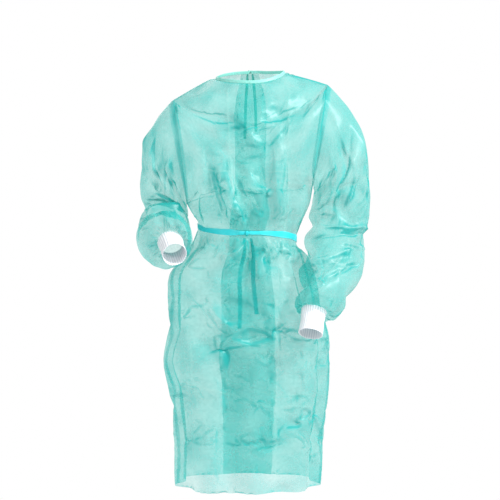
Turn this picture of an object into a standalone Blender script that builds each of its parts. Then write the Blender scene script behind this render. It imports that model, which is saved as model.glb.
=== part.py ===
"""A visitor gown of thin nonwoven cloth, hollow and filled out as when it is worn.

X runs to the gown's left as it is worn, -Y is the front and +Z is up. The origin is the middle of the neck
opening, level with the shoulders, at which the gown is held up. All sizes are in metres.
"""

import math
from collections import namedtuple

import bmesh
import bpy
import numpy as np

# Driving sizes
GOWN_LENGTH = 1.100
HEM_Z = -GOWN_LENGTH
WALL = 0.0012
SEAM_GAP = 0.0003
LAYER_GAP = 0.0006
ARMHOLE_DEPTH = 0.082
CUFF_LENGTH = 0.066
CUFF_WALL = 0.0016
BINDING_HEIGHT = 0.009
BINDING_WALL = 0.0018
BINDING_BULGE = 0.0005
BINDING_UPRIGHT = 0.45
CUFF_GATHER_HEIGHT = 0.0048
CUFF_RIBS = 30
CUFF_RIB_HEIGHT = 0.0005
BELT_WALL = 0.0012
BELT_GAP = 0.0011
BELT_END_WIDTH = 0.012
TIE_WIDTH = 0.008
TIE_GAP = 0.0022

# How finely the panels are divided. A sleeve has two columns for each row of the body along its armhole.
FRONT_COLUMNS = 30
BACK_OUTER_COLUMNS = 10
OVERLAP_COLUMNS = 4
SLEEVE_COLUMNS = 24
CUFF_GATHERS = SLEEVE_COLUMNS // 2

# Rings of the body, from the neck to the hem. Each is pinned at both sides, at the middle of the front and
# at the middle of the back. Square is how boxy the ring is, turn is how far round it its side lies, in
# degrees, where less than 90 gives the side an edge, and rows is the number of grid rows to the next ring.
BodyRing = namedtuple(
    "BodyRing",
    "name right_x right_z left_x left_z front_y front_z back_y back_z square turn rows",
)
BODY_RINGS = [
    BodyRing("neck", -0.096, -0.012, 0.096, 0.006, -0.086, -0.034, 0.074, 0.012, 2.0, 90, 2),
    BodyRing("yoke", -0.124, -0.026, 0.126, -0.006, -0.100, -0.068, 0.094, -0.012, 2.0, 84, 2),
    BodyRing("shoulder", -0.204, -0.074, 0.207, -0.033, -0.124, -0.140, 0.122, -0.092, 2.2, 60, 12),
    BodyRing("underarm", -0.168, -0.345, 0.168, -0.295, -0.138, -0.320, 0.126, -0.315, 2.3, 66, 1),
    BodyRing("ribs", -0.153, -0.375, 0.152, -0.362, -0.131, -0.375, 0.116, -0.372, 2.2, 84, 2),
    BodyRing("waist", -0.139, -0.405, 0.123, -0.445, -0.119, -0.428, 0.104, -0.425, 2.1, 90, 1),
    BodyRing("flare", -0.155, -0.455, 0.150, -0.487, -0.132, -0.475, 0.124, -0.472, 2.1, 90, 2),
    BodyRing("hip", -0.196, -0.530, 0.176, -0.550, -0.150, -0.545, 0.152, -0.540, 2.2, 90, 1),
    BodyRing("seat", -0.205, -0.610, 0.192, -0.620, -0.156, -0.615, 0.164, -0.615, 2.3, 90, 2),
    BodyRing("thigh", -0.208, -0.690, 0.200, -0.700, -0.160, -0.695, 0.166, -0.695, 2.3, 90, 1),
    BodyRing("bulge", -0.219, -0.772, 0.202, -0.780, -0.163, -0.775, 0.165, -0.775, 2.3, 90, 1),
    BodyRing("knee", -0.205, -0.858, 0.198, -0.862, -0.160, -0.860, 0.160, -0.860, 2.3, 90, 2),
    BodyRing("shin", -0.196, -0.965, 0.187, -0.965, -0.156, -0.965, 0.156, -0.965, 2.2, 90, 2),
    BodyRing("hem", -0.193, HEM_Z, 0.180, HEM_Z, -0.153, HEM_Z, 0.155, HEM_Z, 2.2, 90, 0),
]
SHOULDER, UNDERARM, WAIST = 2, 3, 5

# Folds of the body. An angle is counted round the body in degrees, 0 at the middle of the front and 90 at
# the gown's left. Each fold runs from a top to a bottom. A height above zero is a ridge and one below is a
# trough, and the fades are the shares of its length over which it dies out, where 0 carries it on to the hem.
BodyFold = namedtuple("BodyFold", "top_angle top_z bottom_angle bottom_z width height top_fade bottom_fade")
BODY_FOLDS = [
    BodyFold(-34, -0.205, -3, -0.440, 8, 0.014, 0.60, 0.20),
    BodyFold(-47, -0.225, -17, -0.440, 9, -0.012, 0.60, 0.20),
    BodyFold(-20, -0.215, 7, -0.440, 8, -0.009, 0.60, 0.20),
    BodyFold(-6, -0.200, 15, -0.440, 8, 0.010, 0.70, 0.20),
    BodyFold(19, -0.130, 24, -0.440, 8, -0.010, 0.70, 0.20),
    BodyFold(33, -0.110, 34, -0.440, 9, 0.011, 0.70, 0.20),
    BodyFold(50, -0.140, 46, -0.450, 9, -0.012, 0.50, 0.20),
    BodyFold(63, -0.200, 60, -0.450, 10, 0.010, 0.50, 0.20),
    BodyFold(-62, -0.150, -50, -0.430, 10, 0.013, 0.50, 0.20),
    BodyFold(-66, -0.260, -66, -0.420, 9, -0.010, 0.40, 0.20),
    BodyFold(-4, -0.430, -30, -0.590, 8, 0.013, 0.20, 0.60),
    BodyFold(5, -0.430, -4, -0.640, 8, -0.013, 0.15, 0.60),
    BodyFold(14, -0.430, 14, -0.720, 9, 0.013, 0.15, 0.60),
    BodyFold(33, -0.430, 27, -1.100, 10, -0.014, 0.10, 0.00),
    BodyFold(46, -0.440, 42, -1.100, 11, 0.013, 0.10, 0.00),
    BodyFold(68, -0.440, 66, -1.100, 12, -0.015, 0.10, 0.00),
    BodyFold(84, -0.600, 84, -1.100, 12, 0.013, 0.30, 0.00),
    BodyFold(-46, -0.420, -54, -0.700, 10, 0.011, 0.15, 0.50),
    BodyFold(-62, -0.560, -8, -0.780, 9, -0.018, 0.30, 0.30),
    BodyFold(-50, -0.620, -30, -0.860, 10, 0.013, 0.40, 0.40),
    BodyFold(-14, -0.700, -13, -1.100, 9, -0.018, 0.20, 0.00),
    BodyFold(4, -0.640, 4, -1.100, 11, 0.011, 0.30, 0.00),
    BodyFold(-38, -0.840, -34, -1.100, 12, 0.014, 0.40, 0.00),
    BodyFold(-58, -0.800, -58, -1.100, 11, -0.016, 0.40, 0.00),
    BodyFold(-82, -0.420, -80, -1.100, 12, 0.011, 0.10, 0.00),
    BodyFold(56, -0.440, 53, -0.710, 17, -0.036, 0.35, 0.35),
    BodyFold(-76, -0.440, -76, -0.530, 14, -0.015, 0.35, 0.35),
    BodyFold(-104, -0.420, -102, -1.100, 11, -0.016, 0.10, 0.00),
    BodyFold(-124, -0.420, -126, -1.100, 12, 0.015, 0.10, 0.00),
    BodyFold(-146, -0.430, -152, -1.100, 11, -0.015, 0.10, 0.00),
    BodyFold(108, -0.440, 106, -1.100, 11, -0.015, 0.10, 0.00),
    BodyFold(128, -0.430, 128, -1.100, 12, 0.015, 0.10, 0.00),
    BodyFold(150, -0.430, 154, -1.100, 11, -0.015, 0.10, 0.00),
    BodyFold(-118, -0.200, -124, -0.430, 12, 0.010, 0.70, 0.20),
    BodyFold(-138, -0.150, -146, -0.430, 11, -0.011, 0.60, 0.20),
    BodyFold(118, -0.180, 124, -0.430, 11, 0.012, 0.60, 0.20),
    BodyFold(140, -0.150, 150, -0.430, 11, -0.011, 0.60, 0.20),
    BodyFold(172, -0.180, 168, -0.430, 10, 0.010, 0.60, 0.20),
]

# Rings of a sleeve, from the armhole to the knitted cuff. Out is the half reach away from the body, depth the
# half reach to the front, and tilt turns the front reach upwards as the elbow bends. Rows is as for the body.
SleeveRing = namedtuple("SleeveRing", "x y z out_x out_z depth tilt rows")
LEFT_SLEEVE = [
    SleeveRing(0.1875, 0.000, -0.1640, 0.0195, 0.1310, ARMHOLE_DEPTH, 0, 2),
    SleeveRing(0.2175, 0.002, -0.2000, 0.0430, 0.1080, 0.083, 0, 2),
    SleeveRing(0.2345, 0.004, -0.2350, 0.0590, 0.0840, 0.082, 2, 2),
    SleeveRing(0.2420, 0.007, -0.2750, 0.0700, 0.0600, 0.080, 4, 2),
    SleeveRing(0.2430, 0.010, -0.3250, 0.0765, 0.0400, 0.079, 6, 2),
    SleeveRing(0.2415, 0.010, -0.3750, 0.0790, 0.0240, 0.079, 10, 2),
    SleeveRing(0.2360, -0.002, -0.4300, 0.0780, 0.0080, 0.078, 16, 2),
    SleeveRing(0.2230, -0.044, -0.4880, 0.0800, 0.0000, 0.074, 22, 2),
    SleeveRing(0.2100, -0.093, -0.5360, 0.0710, -0.0060, 0.068, 26, 2),
    SleeveRing(0.1960, -0.133, -0.5780, 0.0600, -0.0100, 0.061, 28, 1),
    SleeveRing(0.1800, -0.154, -0.6120, 0.0600, -0.0130, 0.057, 28, 1),
    SleeveRing(0.1690, -0.158, -0.6300, 0.0480, -0.0110, 0.048, 28, 1),
    SleeveRing(0.1650, -0.160, -0.6280, 0.0335, -0.0070, 0.0345, 28, 0),
]
RIGHT_SLEEVE = [
    SleeveRing(-0.1860, 0.000, -0.2095, -0.0180, 0.1355, ARMHOLE_DEPTH, 0, 2),
    SleeveRing(-0.2070, 0.005, -0.2340, -0.0360, 0.1180, 0.083, 0, 2),
    SleeveRing(-0.2190, 0.010, -0.2650, -0.0500, 0.0980, 0.083, 0, 2),
    SleeveRing(-0.2260, 0.016, -0.2960, -0.0580, 0.0760, 0.082, 0, 2),
    SleeveRing(-0.2290, 0.020, -0.3280, -0.0630, 0.0540, 0.081, 8, 2),
    SleeveRing(-0.2290, 0.018, -0.3600, -0.0625, 0.0320, 0.080, 22, 2),
    SleeveRing(-0.2290, 0.002, -0.3920, -0.0620, 0.0140, 0.078, 38, 2),
    SleeveRing(-0.2290, -0.034, -0.4180, -0.0650, 0.0040, 0.077, 50, 2),
    SleeveRing(-0.2270, -0.074, -0.4340, -0.0640, 0.0000, 0.076, 57, 2),
    SleeveRing(-0.2230, -0.114, -0.4460, -0.0660, -0.0030, 0.076, 61, 2),
    SleeveRing(-0.2160, -0.147, -0.4540, -0.0630, -0.0040, 0.071, 62, 1),
    SleeveRing(-0.2090, -0.166, -0.4560, -0.0520, -0.0040, 0.058, 62, 1),
    SleeveRing(-0.2050, -0.165, -0.4530, -0.0335, -0.0030, 0.0345, 62, 0),
]

# Creases of a sleeve. Along is the share of its rings passed, around is the angle from the outer side over
# the front, reach and spread are half sizes of the crease along the arm and round it, and slant skews it.
SleeveFold = namedtuple("SleeveFold", "along around reach spread slant height")
LEFT_FOLDS = [
    SleeveFold(0.17, 95, 0.050, 60, 0.0012, -0.012),
    SleeveFold(0.26, 70, 0.050, 60, 0.0012, 0.010),
    SleeveFold(0.35, 140, 0.045, 60, 0.0008, 0.011),
    SleeveFold(0.43, 175, 0.045, 60, 0.0005, -0.014),
    SleeveFold(0.51, 165, 0.045, 65, -0.0006, 0.012),
    SleeveFold(0.59, 190, 0.042, 60, -0.0006, -0.014),
    SleeveFold(0.67, 170, 0.042, 65, 0.0006, 0.013),
    SleeveFold(0.75, 185, 0.040, 60, 0.0004, -0.011),
    SleeveFold(0.56, 30, 0.050, 50, 0.0012, -0.009),
    SleeveFold(0.68, 340, 0.050, 60, -0.0010, 0.009),
    SleeveFold(0.80, 20, 0.045, 60, 0.0008, -0.009),
    SleeveFold(0.36, 300, 0.050, 50, 0.0012, -0.010),
    SleeveFold(0.48, 270, 0.050, 55, -0.0010, 0.010),
    SleeveFold(0.22, 270, 0.060, 45, 0.0012, -0.010),
]
RIGHT_FOLDS = [
    SleeveFold(0.17, 90, 0.050, 60, 0.0012, -0.012),
    SleeveFold(0.26, 75, 0.050, 60, 0.0010, 0.011),
    SleeveFold(0.35, 95, 0.045, 80, 0.0008, -0.012),
    SleeveFold(0.43, 80, 0.046, 90, 0.0003, 0.008),
    SleeveFold(0.51, 70, 0.046, 100, 0.0000, -0.008),
    SleeveFold(0.59, 85, 0.046, 90, -0.0003, 0.010),
    SleeveFold(0.67, 70, 0.042, 90, 0.0003, -0.014),
    SleeveFold(0.76, 85, 0.042, 90, 0.0003, 0.011),
    SleeveFold(0.47, 345, 0.045, 50, 0.0000, -0.010),
    SleeveFold(0.64, 335, 0.045, 60, 0.0006, 0.008),
    SleeveFold(0.40, 210, 0.050, 60, 0.0008, -0.009),
    SleeveFold(0.60, 215, 0.050, 60, -0.0008, 0.009),
    SleeveFold(0.30, 290, 0.055, 50, 0.0010, 0.010),
    SleeveFold(0.20, 275, 0.055, 45, 0.0012, -0.010),
]

# The left sleeve bends so far that it is held as two tubes, which meet at this ring of its table.
LEFT_ELBOW = 7

# The cuff's half widths at the seam, in its middle and at the wrist, and its slant across the arm.
CUFF_RADII = (0.0322, 0.0300, 0.0315)
CUFF_ROWS = 2
LEFT_CUFF_SLANT = -0.16
RIGHT_CUFF_SLANT = 0.22

# Half of the overlap of the back panels at the nape and below the waist, as a share of the back's half.
NAPE_OVERLAP = 0.16
FULL_OVERLAP = 0.24
OVERLAP_FROM, OVERLAP_TO = 0.4, 4.6

# The belt lies on the grid rows this share of a ring above and below the waist. Each half starts so many
# columns beside the tack, ends so many beside the knot behind, and widens over so many from a share of its
# width.
BELT_REACH = 0.17
BELT_START = 0.42
BELT_NARROW = 0.62
BELT_BEHIND = 0.3
BELT_WIDENS = {"belt_right": 3, "belt_left": 8}

# Where the tied ends leave the knots behind and how they spread, in columns, and how many rows down they hang.
StripRun = namedtuple("StripRun", "name way first_row from_row rows start spread")
BELT_ENDS = [
    StripRun("belt_end_right", -1, 1.2, 2, 6, 0.36, 0.05),
    StripRun("belt_end_left", 1, 1.2, 2, 5, 0.36, 0.05),
]
NECK_TIES = [
    StripRun("neck_tie_right", -1, 0.15, 1, 8, 0.55, 0.02),
    StripRun("neck_tie_left", 1, 0.15, 1, 7, 0.55, 0.02),
]
STRIP_START = 0.55

# Knots, and how far their middles stand off the cloth or binding that they are tied on.
KnotSize = namedtuple("KnotSize", "half_width half_depth half_height stand_off")
BELT_TACK = KnotSize(0.0062, 0.0042, 0.0056, 0.0047)
BELT_KNOT = KnotSize(0.0105, 0.0062, 0.0090, 0.0066)
NECK_KNOT = KnotSize(0.0062, 0.0042, 0.0052, 0.0054)

# Colours of the finishes, linear
MINT_CLOTH = (0.23, 0.66, 0.55, 1.0)
MINT_BINDING = (0.16, 0.60, 0.50, 1.0)
WHITE_KNIT = (0.86, 0.87, 0.88, 1.0)


def clear_scene():
    for old in list(bpy.data.objects):
        bpy.data.objects.remove(old, do_unlink=True)


def make_material(name, colour, roughness):
    material = bpy.data.materials.new(name)
    material.use_nodes = True
    shader = material.node_tree.nodes["Principled BSDF"]
    shader.inputs["Base Color"].default_value = colour
    shader.inputs["Roughness"].default_value = roughness
    shader.inputs["Metallic"].default_value = 0.0
    return material


def smooth_step(x):
    x = min(1.0, max(0.0, x))
    return x * x * (3 - 2 * x)


def spline(rows, at):
    """The value at a fractional row number of a smooth curve through rows of numbers."""
    last = len(rows) - 1
    at = min(max(at, 0.0), float(last))
    k = min(int(at), last - 1)
    f = at - k
    p0, p1, p2, p3 = (np.array(rows[min(max(k + d, 0), last)], float) for d in (-1, 0, 1, 2))
    m1, m2 = (p2 - p0) / 2, (p3 - p1) / 2
    f2, f3 = f * f, f * f * f
    return (2 * f3 - 3 * f2 + 1) * p1 + (f3 - 2 * f2 + f) * m1 + (3 * f2 - 2 * f3) * p2 + (f3 - f2) * m2


def row_numbers(table):
    """The fractional table rows at which the grid rows lie."""
    numbers = [0.0]
    for k, ring in enumerate(table[:-1]):
        numbers += [k + (n + 1) / ring.rows for n in range(ring.rows)]
    return numbers


def body_rows():
    """The grid rows of the body, with one above and one below the waist for the belt to lie on."""
    return sorted(row_numbers(BODY_RINGS) + [WAIST - BELT_REACH, WAIST + BELT_REACH])


def sleeve_ring_point(ring, angle):
    """A point of a sleeve's ring, at an angle from its outer side over the front."""
    x, y, z, out_x, out_z, depth, tilt = ring
    front = depth * math.sin(angle)
    return np.array([
        x + out_x * math.cos(angle),
        y - front * math.cos(math.radians(tilt)),
        z + out_z * math.cos(angle) + front * math.sin(math.radians(tilt)),
    ])


def body_edge(at, side, facing):
    """Where a body ring meets the side seam, shoulder seam or armhole. Side is -1 for the gown's right."""
    if SHOULDER <= at <= UNDERARM:
        table = LEFT_SLEEVE if side > 0 else RIGHT_SLEEVE
        angle = math.pi * (at - SHOULDER)
        return sleeve_ring_point(table[0][:7], angle if facing < 0 else -angle)
    if at < SHOULDER:
        rings = BODY_RINGS[: SHOULDER + 1]
        at_local = at
    else:
        rings = BODY_RINGS[UNDERARM:]
        at_local = at - UNDERARM
    rows = [(r.left_x, r.left_z) if side > 0 else (r.right_x, r.right_z) for r in rings]
    x, z = spline(rows, at_local)
    return np.array([x, 0.0, z])


def fold_height(angle, z):
    """How far the body's folds stand out at an angle round it, in degrees, and a height."""
    total = 0.0
    for fold in BODY_FOLDS:
        share = (fold.top_z - z) / (fold.top_z - fold.bottom_z)
        window = smooth_step(share / fold.top_fade)
        if fold.bottom_fade:
            window *= smooth_step((1 - share) / fold.bottom_fade)
        if window <= 0:
            continue
        middle = fold.top_angle + (fold.bottom_angle - fold.top_angle) * min(1.0, max(0.0, share))
        away = (angle - middle + 180) % 360 - 180
        width = fold.width * (0.8 + 0.4 * min(1.0, abs(z - BODY_RINGS[WAIST].front_z) / 0.3))
        total += fold.height * window * math.exp(-((away / width) ** 2))
    return total


def body_point(at, across, facing):
    """A point of the body without folds. Across runs from -1 at the gown's right to 1 at its left, and
    facing is -1 for the front and 1 for the back.
    """
    side = 1 if across >= 0 else -1
    ring = spline([r[1:11] for r in BODY_RINGS], at)
    front_y, front_z, back_y, back_z, square, turn = ring[4:10]
    middle_y, middle_z = (front_y, front_z) if facing < 0 else (back_y, back_z)
    edge = body_edge(at, side, facing)
    opposite = body_edge(at, -side, facing)
    middle_x = (edge[0] + opposite[0]) / 2
    opening = math.sin(math.pi * min(1.0, max(0.0, at - SHOULDER)))
    turn = math.radians(min(90.0, turn) - 6 * opening)
    angle = abs(across) * turn
    sin_end, cos_end = math.sin(turn), math.cos(turn)
    boxy = (abs(math.sin(angle)) ** square + abs(math.cos(angle)) ** square) ** (-1 / square)
    boxy_end = (sin_end ** square + cos_end ** square) ** (-1 / square)
    out = boxy * math.sin(angle) / (boxy_end * sin_end)
    forward = (boxy * math.cos(angle) - boxy_end * cos_end) / (1 - boxy_end * cos_end)
    ridge = forward ** 1.25 if at < UNDERARM else forward
    return np.array([
        middle_x + (edge[0] - middle_x) * out,
        edge[1] + (middle_y - edge[1]) * forward,
        edge[2] + (middle_z - edge[2]) * ridge,
    ])


def body_angle(across, facing):
    return across * 90 if facing < 0 else 180 - across * 90


def fold_window(at, across):
    """Folds die out at the armholes, where the sleeves are sewn on, and towards the neck."""
    near_edge = 1 - smooth_step((abs(across) - 0.72) / 0.24)
    in_yoke = smooth_step((at - 1.0) / 1.0)
    below = smooth_step((at - UNDERARM) / 1.6)
    return in_yoke * (near_edge + (1 - near_edge) * below)


def body_grid(facing, columns):
    """The points of the front or the back, rows from the neck to the hem, columns from right to left."""
    shares = np.linspace(-1, 1, columns + 1)
    rows = body_rows()
    return np.array([[body_point(at, s, facing) for s in shares] for at in rows]), rows, shares


def grid_faces(rows, columns, closed, flip):
    """Quads of a grid of points, as four (row, column) corners each, facing out."""
    faces = []
    for i in range(rows - 1):
        for j in range(columns if closed else columns - 1):
            k = (j + 1) % columns
            quad = [(i, j), (i + 1, j), (i + 1, k), (i, k)]
            faces.append(quad[::-1] if flip else quad)
    return faces


def shared_normals(surfaces):
    """Outward unit normals of several grids, averaged where they meet.

    A surface is (points, closed, flip, group). Where groups meet, each counts the same, so that both walls of
    a narrow angle keep their thickness.
    """
    totals = {}

    def key(point):
        return tuple(np.round(point * 20000).astype(int))

    for points, closed, flip, group in surfaces:
        for quad in grid_faces(points.shape[0], points.shape[1], closed, flip):
            a, b, c, d = (points[q] for q in quad)
            normal = np.cross(c - a, d - b)
            for corner in (a, b, c, d):
                groups = totals.setdefault(key(corner), {})
                groups[group] = groups.get(group, np.zeros(3)) + normal
    result = []
    for points, _closed, _flip, _group in surfaces:
        normals = np.zeros_like(points)
        for index in np.ndindex(points.shape[:2]):
            total = sum(n / max(np.linalg.norm(n), 1e-12) for n in totals[key(points[index])].values())
            normals[index] = total / max(np.linalg.norm(total), 1e-12)
        result.append(normals)
    return result


def trimmed(points, edges):
    """The grid with the named edges drawn back by half of the gap between sewn pieces."""
    moved = points.copy()
    for grid, names in ((moved, ("top", "bottom")), (moved.transpose(1, 0, 2), ("right", "left"))):
        for edge, (outer, inner) in zip(names, ((0, 1), (-1, -2))):
            if edge in edges:
                step = grid[inner] - grid[outer]
                grid[outer] += step / np.linalg.norm(step, axis=1)[:, None] * SEAM_GAP / 2
    return moved


def make_wall(name, points, normals, thickness, material, closed=False, flip=False):
    """A closed wall with the grid of points as its outer face and its inner face a thickness inside it."""
    rows, columns = points.shape[:2]
    mesh = bpy.data.meshes.new(name)
    shape = bmesh.new()
    outer = [[shape.verts.new(points[i, j]) for j in range(columns)] for i in range(rows)]
    inside = points - normals * thickness
    inner = [[shape.verts.new(inside[i, j]) for j in range(columns)] for i in range(rows)]
    for a, b, c, d in grid_faces(rows, columns, closed, flip):
        for triangle in ((a, b, c), (a, c, d)):
            shape.faces.new([outer[i][j] for i, j in triangle])
            shape.faces.new([inner[i][j] for i, j in reversed(triangle)])
    rims = [[(0, j) for j in range(columns)], [(rows - 1, j) for j in range(columns)]]
    if closed:
        rims = [rim + rim[:1] for rim in rims]
    else:
        rims += [[(i, 0) for i in range(rows)], [(i, columns - 1) for i in range(rows)]]
    for rim in rims:
        for (i, j), (k, m) in zip(rim, rim[1:]):
            shape.faces.new([outer[i][j], outer[k][m], inner[k][m], inner[i][j]])
    bmesh.ops.recalc_face_normals(shape, faces=shape.faces[:])
    if shape.calc_volume(signed=True) < 0:
        bmesh.ops.reverse_faces(shape, faces=shape.faces[:])
    shape.to_mesh(mesh)
    shape.free()
    mesh.materials.append(material)
    made = bpy.data.objects.new(name, mesh)
    GOWN.objects.link(made)
    mesh.shade_smooth()
    return made


def sleeve_grid(table, folds):
    """The points of a sleeve, rows from armhole to cuff, columns from the outer side over the front."""
    plain = [ring[:7] for ring in table]
    last = len(table) - 1
    grid = []
    for at in row_numbers(table):
        ring = spline(plain, at)
        middle = ring[:3]
        share = at / last
        row = []
        for m in range(SLEEVE_COLUMNS):
            angle = 2 * math.pi * m / SLEEVE_COLUMNS
            point = sleeve_ring_point(ring, angle)
            out = point - middle
            height = sleeve_fold_height(folds, share, math.degrees(angle))
            height *= smooth_step((share - 0.06) / 0.12) * smooth_step((0.97 - share) / 0.08)
            height += gather_height(share, angle)
            row.append(point + out / np.linalg.norm(out) * height)
        grid.append(row)
    return np.array(grid)


def gather_height(share, angle):
    """The gathers of a sleeve into its cuff, uneven round it, flattest where they are sewn to the knit."""
    rise = smooth_step((share - 0.72) / 0.22)
    sewn = 0.22 + 0.78 * smooth_step((1.0 - share) / 0.09)
    uneven = 0.75 + 0.25 * math.cos(3 * angle + 0.6)
    return CUFF_GATHER_HEIGHT * rise * sewn * uneven * math.cos(CUFF_GATHERS * angle)


def sleeve_fold_height(folds, share, angle):
    """How far a sleeve's creases stand out at a share of its length and an angle in degrees round it."""
    total = 0.0
    for fold in folds:
        away = (angle - fold.around + 180) % 360 - 180
        along = share - fold.along - fold.slant * away
        total += fold.height * math.exp(-((along / fold.reach) ** 2) - (away / fold.spread) ** 2)
    return total


def make_cuff(name, sleeve_ring, slant, material):
    """A knitted cuff with raised ribs, from the plane of the sleeve's gathered end to the wrist."""
    x, y, z, out_x, _out_z, _depth, tilt, _rows = sleeve_ring
    lean = math.radians(tilt)
    down = np.array([slant, -math.sin(lean), -math.cos(lean)])
    down /= np.linalg.norm(down)
    across = np.array([math.copysign(1.0, out_x), 0.0, 0.0])
    across -= down * across.dot(down)
    across /= np.linalg.norm(across)
    front = np.array([0.0, -math.cos(lean), math.sin(lean)])
    centre = np.array([x, y, z])
    columns = 2 * CUFF_RIBS
    grid, normals = [], []
    for i in range(CUFF_ROWS + 1):
        share = i / CUFF_ROWS
        radius = spline([(r,) for r in CUFF_RADII], 2 * share)[0]
        middle = centre + down * (SEAM_GAP + share * CUFF_LENGTH)
        row, row_normals = [], []
        for m in range(columns):
            angle = 2 * math.pi * m / columns
            seam = sleeve_ring_point(sleeve_ring[:7], angle) - centre
            square = across * math.cos(angle) + front * math.sin(angle)
            out = seam / np.linalg.norm(seam) * (1 - share) + square * share
            out /= np.linalg.norm(out)
            rib = CUFF_RIB_HEIGHT * (m % 2)
            row.append(middle + out * (radius + rib))
            row_normals.append(out * (1 + rib / CUFF_WALL))
        grid.append(row)
        normals.append(row_normals)
    return make_wall(name, np.array(grid), np.array(normals), CUFF_WALL, material, closed=True)


def back_overlap(at):
    """How far past the middle a back panel reaches, as a share of the back."""
    share = smooth_step((at - OVERLAP_FROM) / (OVERLAP_TO - OVERLAP_FROM))
    return NAPE_OVERLAP + (FULL_OVERLAP - NAPE_OVERLAP) * share


def back_shares(at, side):
    """The columns of a back panel, from right to left. Both have the same ones where they overlap."""
    edge = back_overlap(at)
    overlap = np.linspace(-edge, edge, OVERLAP_COLUMNS + 1)
    outer = np.linspace(edge, 1.0, BACK_OUTER_COLUMNS + 1)[1:]
    return np.concatenate([overlap, outer]) if side > 0 else np.concatenate([-outer[::-1], overlap])


def panel_lift(at, across):
    """How far the left back panel stands off the body, so that it clears the right one under it."""
    edge = back_overlap(at)
    column = (1 - edge) / BACK_OUTER_COLUMNS
    return (WALL + LAYER_GAP) * smooth_step((edge + 2 * column - across) / (2 * column))


def back_panel_grid(side, rows):
    """The unfolded points of one back panel, and how far across the body each lies."""
    shares = np.array([back_shares(at, side) for at in rows])
    return np.array([[body_point(at, s, 1) for s in row] for at, row in zip(rows, shares)]), shares


def folded(points, normals, rows, shares, facing):
    """The panel's points moved out by the body's folds."""
    moved = points.copy()
    for i, at in enumerate(rows):
        for j in range(points.shape[1]):
            share = shares[i][j]
            height = fold_height(body_angle(share, facing), points[i, j, 2]) * fold_window(at, share)
            moved[i, j] += normals[i, j] * height
    return moved


def on_grid(points, normals, row, column, stand_off):
    """A point a distance outside the grid, at a row and column number, and its normal."""
    i, j = min(int(row), points.shape[0] - 2), min(int(column), points.shape[1] - 2)
    f, g = row - i, column - j

    def mixed(grid):
        upper = grid[i, j] * (1 - g) + grid[i, j + 1] * g
        lower = grid[i + 1, j] * (1 - g) + grid[i + 1, j + 1] * g
        return upper * (1 - f) + lower * f

    normal = mixed(normals)
    normal /= np.linalg.norm(normal)
    return mixed(points) + normal * stand_off, normal


def make_body(cloth):
    """The front, the two backs and the two sleeves, which share their normals where they are sewn.

    It gives the points and normals of the front and of both backs, for what lies on them, and their rows.
    """
    front, rows, front_shares = body_grid(-1, FRONT_COLUMNS)
    back_right, right_shares = back_panel_grid(-1, rows)
    back_left, left_shares = back_panel_grid(1, rows)
    sleeve_left = sleeve_grid(LEFT_SLEEVE, LEFT_FOLDS)
    sleeve_right = sleeve_grid(RIGHT_SLEEVE, RIGHT_FOLDS)
    sides = [(False, False, 0), (False, True, 0), (False, True, 0), (True, True, 1), (True, False, 1)]
    flat = [front, back_right, back_left, sleeve_left, sleeve_right]
    plain = shared_normals([(points, *side) for points, side in zip(flat, sides)])
    shares = [[front_shares] * len(rows), right_shares, left_shares]
    bent = [
        folded(front, plain[0], rows, shares[0], -1),
        folded(back_right, plain[1], rows, shares[1], 1),
        folded(back_left, plain[2], rows, shares[2], 1),
        sleeve_left,
        sleeve_right,
    ]
    normals = shared_normals([(points, *side) for points, side in zip(bent, sides)])
    for i, at in enumerate(rows):
        for j, share in enumerate(left_shares[i]):
            bent[2][i, j] += normals[2][i, j] * panel_lift(at, share)
    sewn = {"top", "left", "right"}
    make_wall("front_panel", trimmed(bent[0], sewn), normals[0], WALL, cloth)
    make_wall("back_panel_right", trimmed(bent[1], {"top", "right"}), normals[1], WALL, cloth, flip=True)
    make_wall("back_panel_left", trimmed(bent[2], {"top", "left"}), normals[2], WALL, cloth, flip=True)
    elbow = sum(ring.rows for ring in LEFT_SLEEVE[:LEFT_ELBOW])
    for name, part in (("sleeve_left", slice(elbow + 1)), ("sleeve_left_forearm", slice(elbow, None))):
        tube = trimmed(bent[3][part], {"top", "bottom"})
        make_wall(name, tube, normals[3][part], WALL, cloth, closed=True)
    make_wall("sleeve_right", trimmed(bent[4], {"top", "bottom"}), normals[4], WALL, cloth, closed=True)
    return [(bent[k], normals[k]) for k in range(3)], rows


def make_neck_binding(panels, binding):
    """The bound edge of the neck, open at the nape, where its ends are tied.

    It gives the points along its foot, and the way out and the way up at each.
    """
    (front, front_normals), (right, right_normals), (left, left_normals) = panels
    middle = OVERLAP_COLUMNS // 2
    edge = [(right, right_normals, j) for j in range(right.shape[1] - 1 - middle, 0, -1)]
    edge += [(front, front_normals, j) for j in range(front.shape[1])]
    edge += [(left, left_normals, j) for j in range(left.shape[1] - 2, middle - 1, -1)]
    rim, outward, rising = [], [], []
    for points, normals, j in edge:
        up = points[0, j] - points[2, j]
        up = up / np.linalg.norm(up) * (1 - BINDING_UPRIGHT) + np.array([0.0, 0.0, BINDING_UPRIGHT])
        up /= np.linalg.norm(up)
        out = normals[0, j] - up * normals[0, j].dot(up)
        rim.append(points[0, j])
        outward.append(out / np.linalg.norm(out))
        rising.append(up)
    rim, outward, rising = np.array(rim), np.array(outward), np.array(rising)
    for end, inner in ((0, 1), (-1, -2)):
        step = rim[inner] - rim[end]
        rim[end] += step / np.linalg.norm(step) * TIE_GAP
    grid = []
    for share in (1.0, 0.5, 0.0):
        bulge = outward * BINDING_BULGE * math.sin(math.pi * share)
        grid.append(rim + rising * (SEAM_GAP + share * BINDING_HEIGHT) + bulge)
    make_wall("neck_binding", np.array(grid), np.array([outward] * 3), BINDING_WALL, binding)
    return rim, outward, rising


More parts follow.
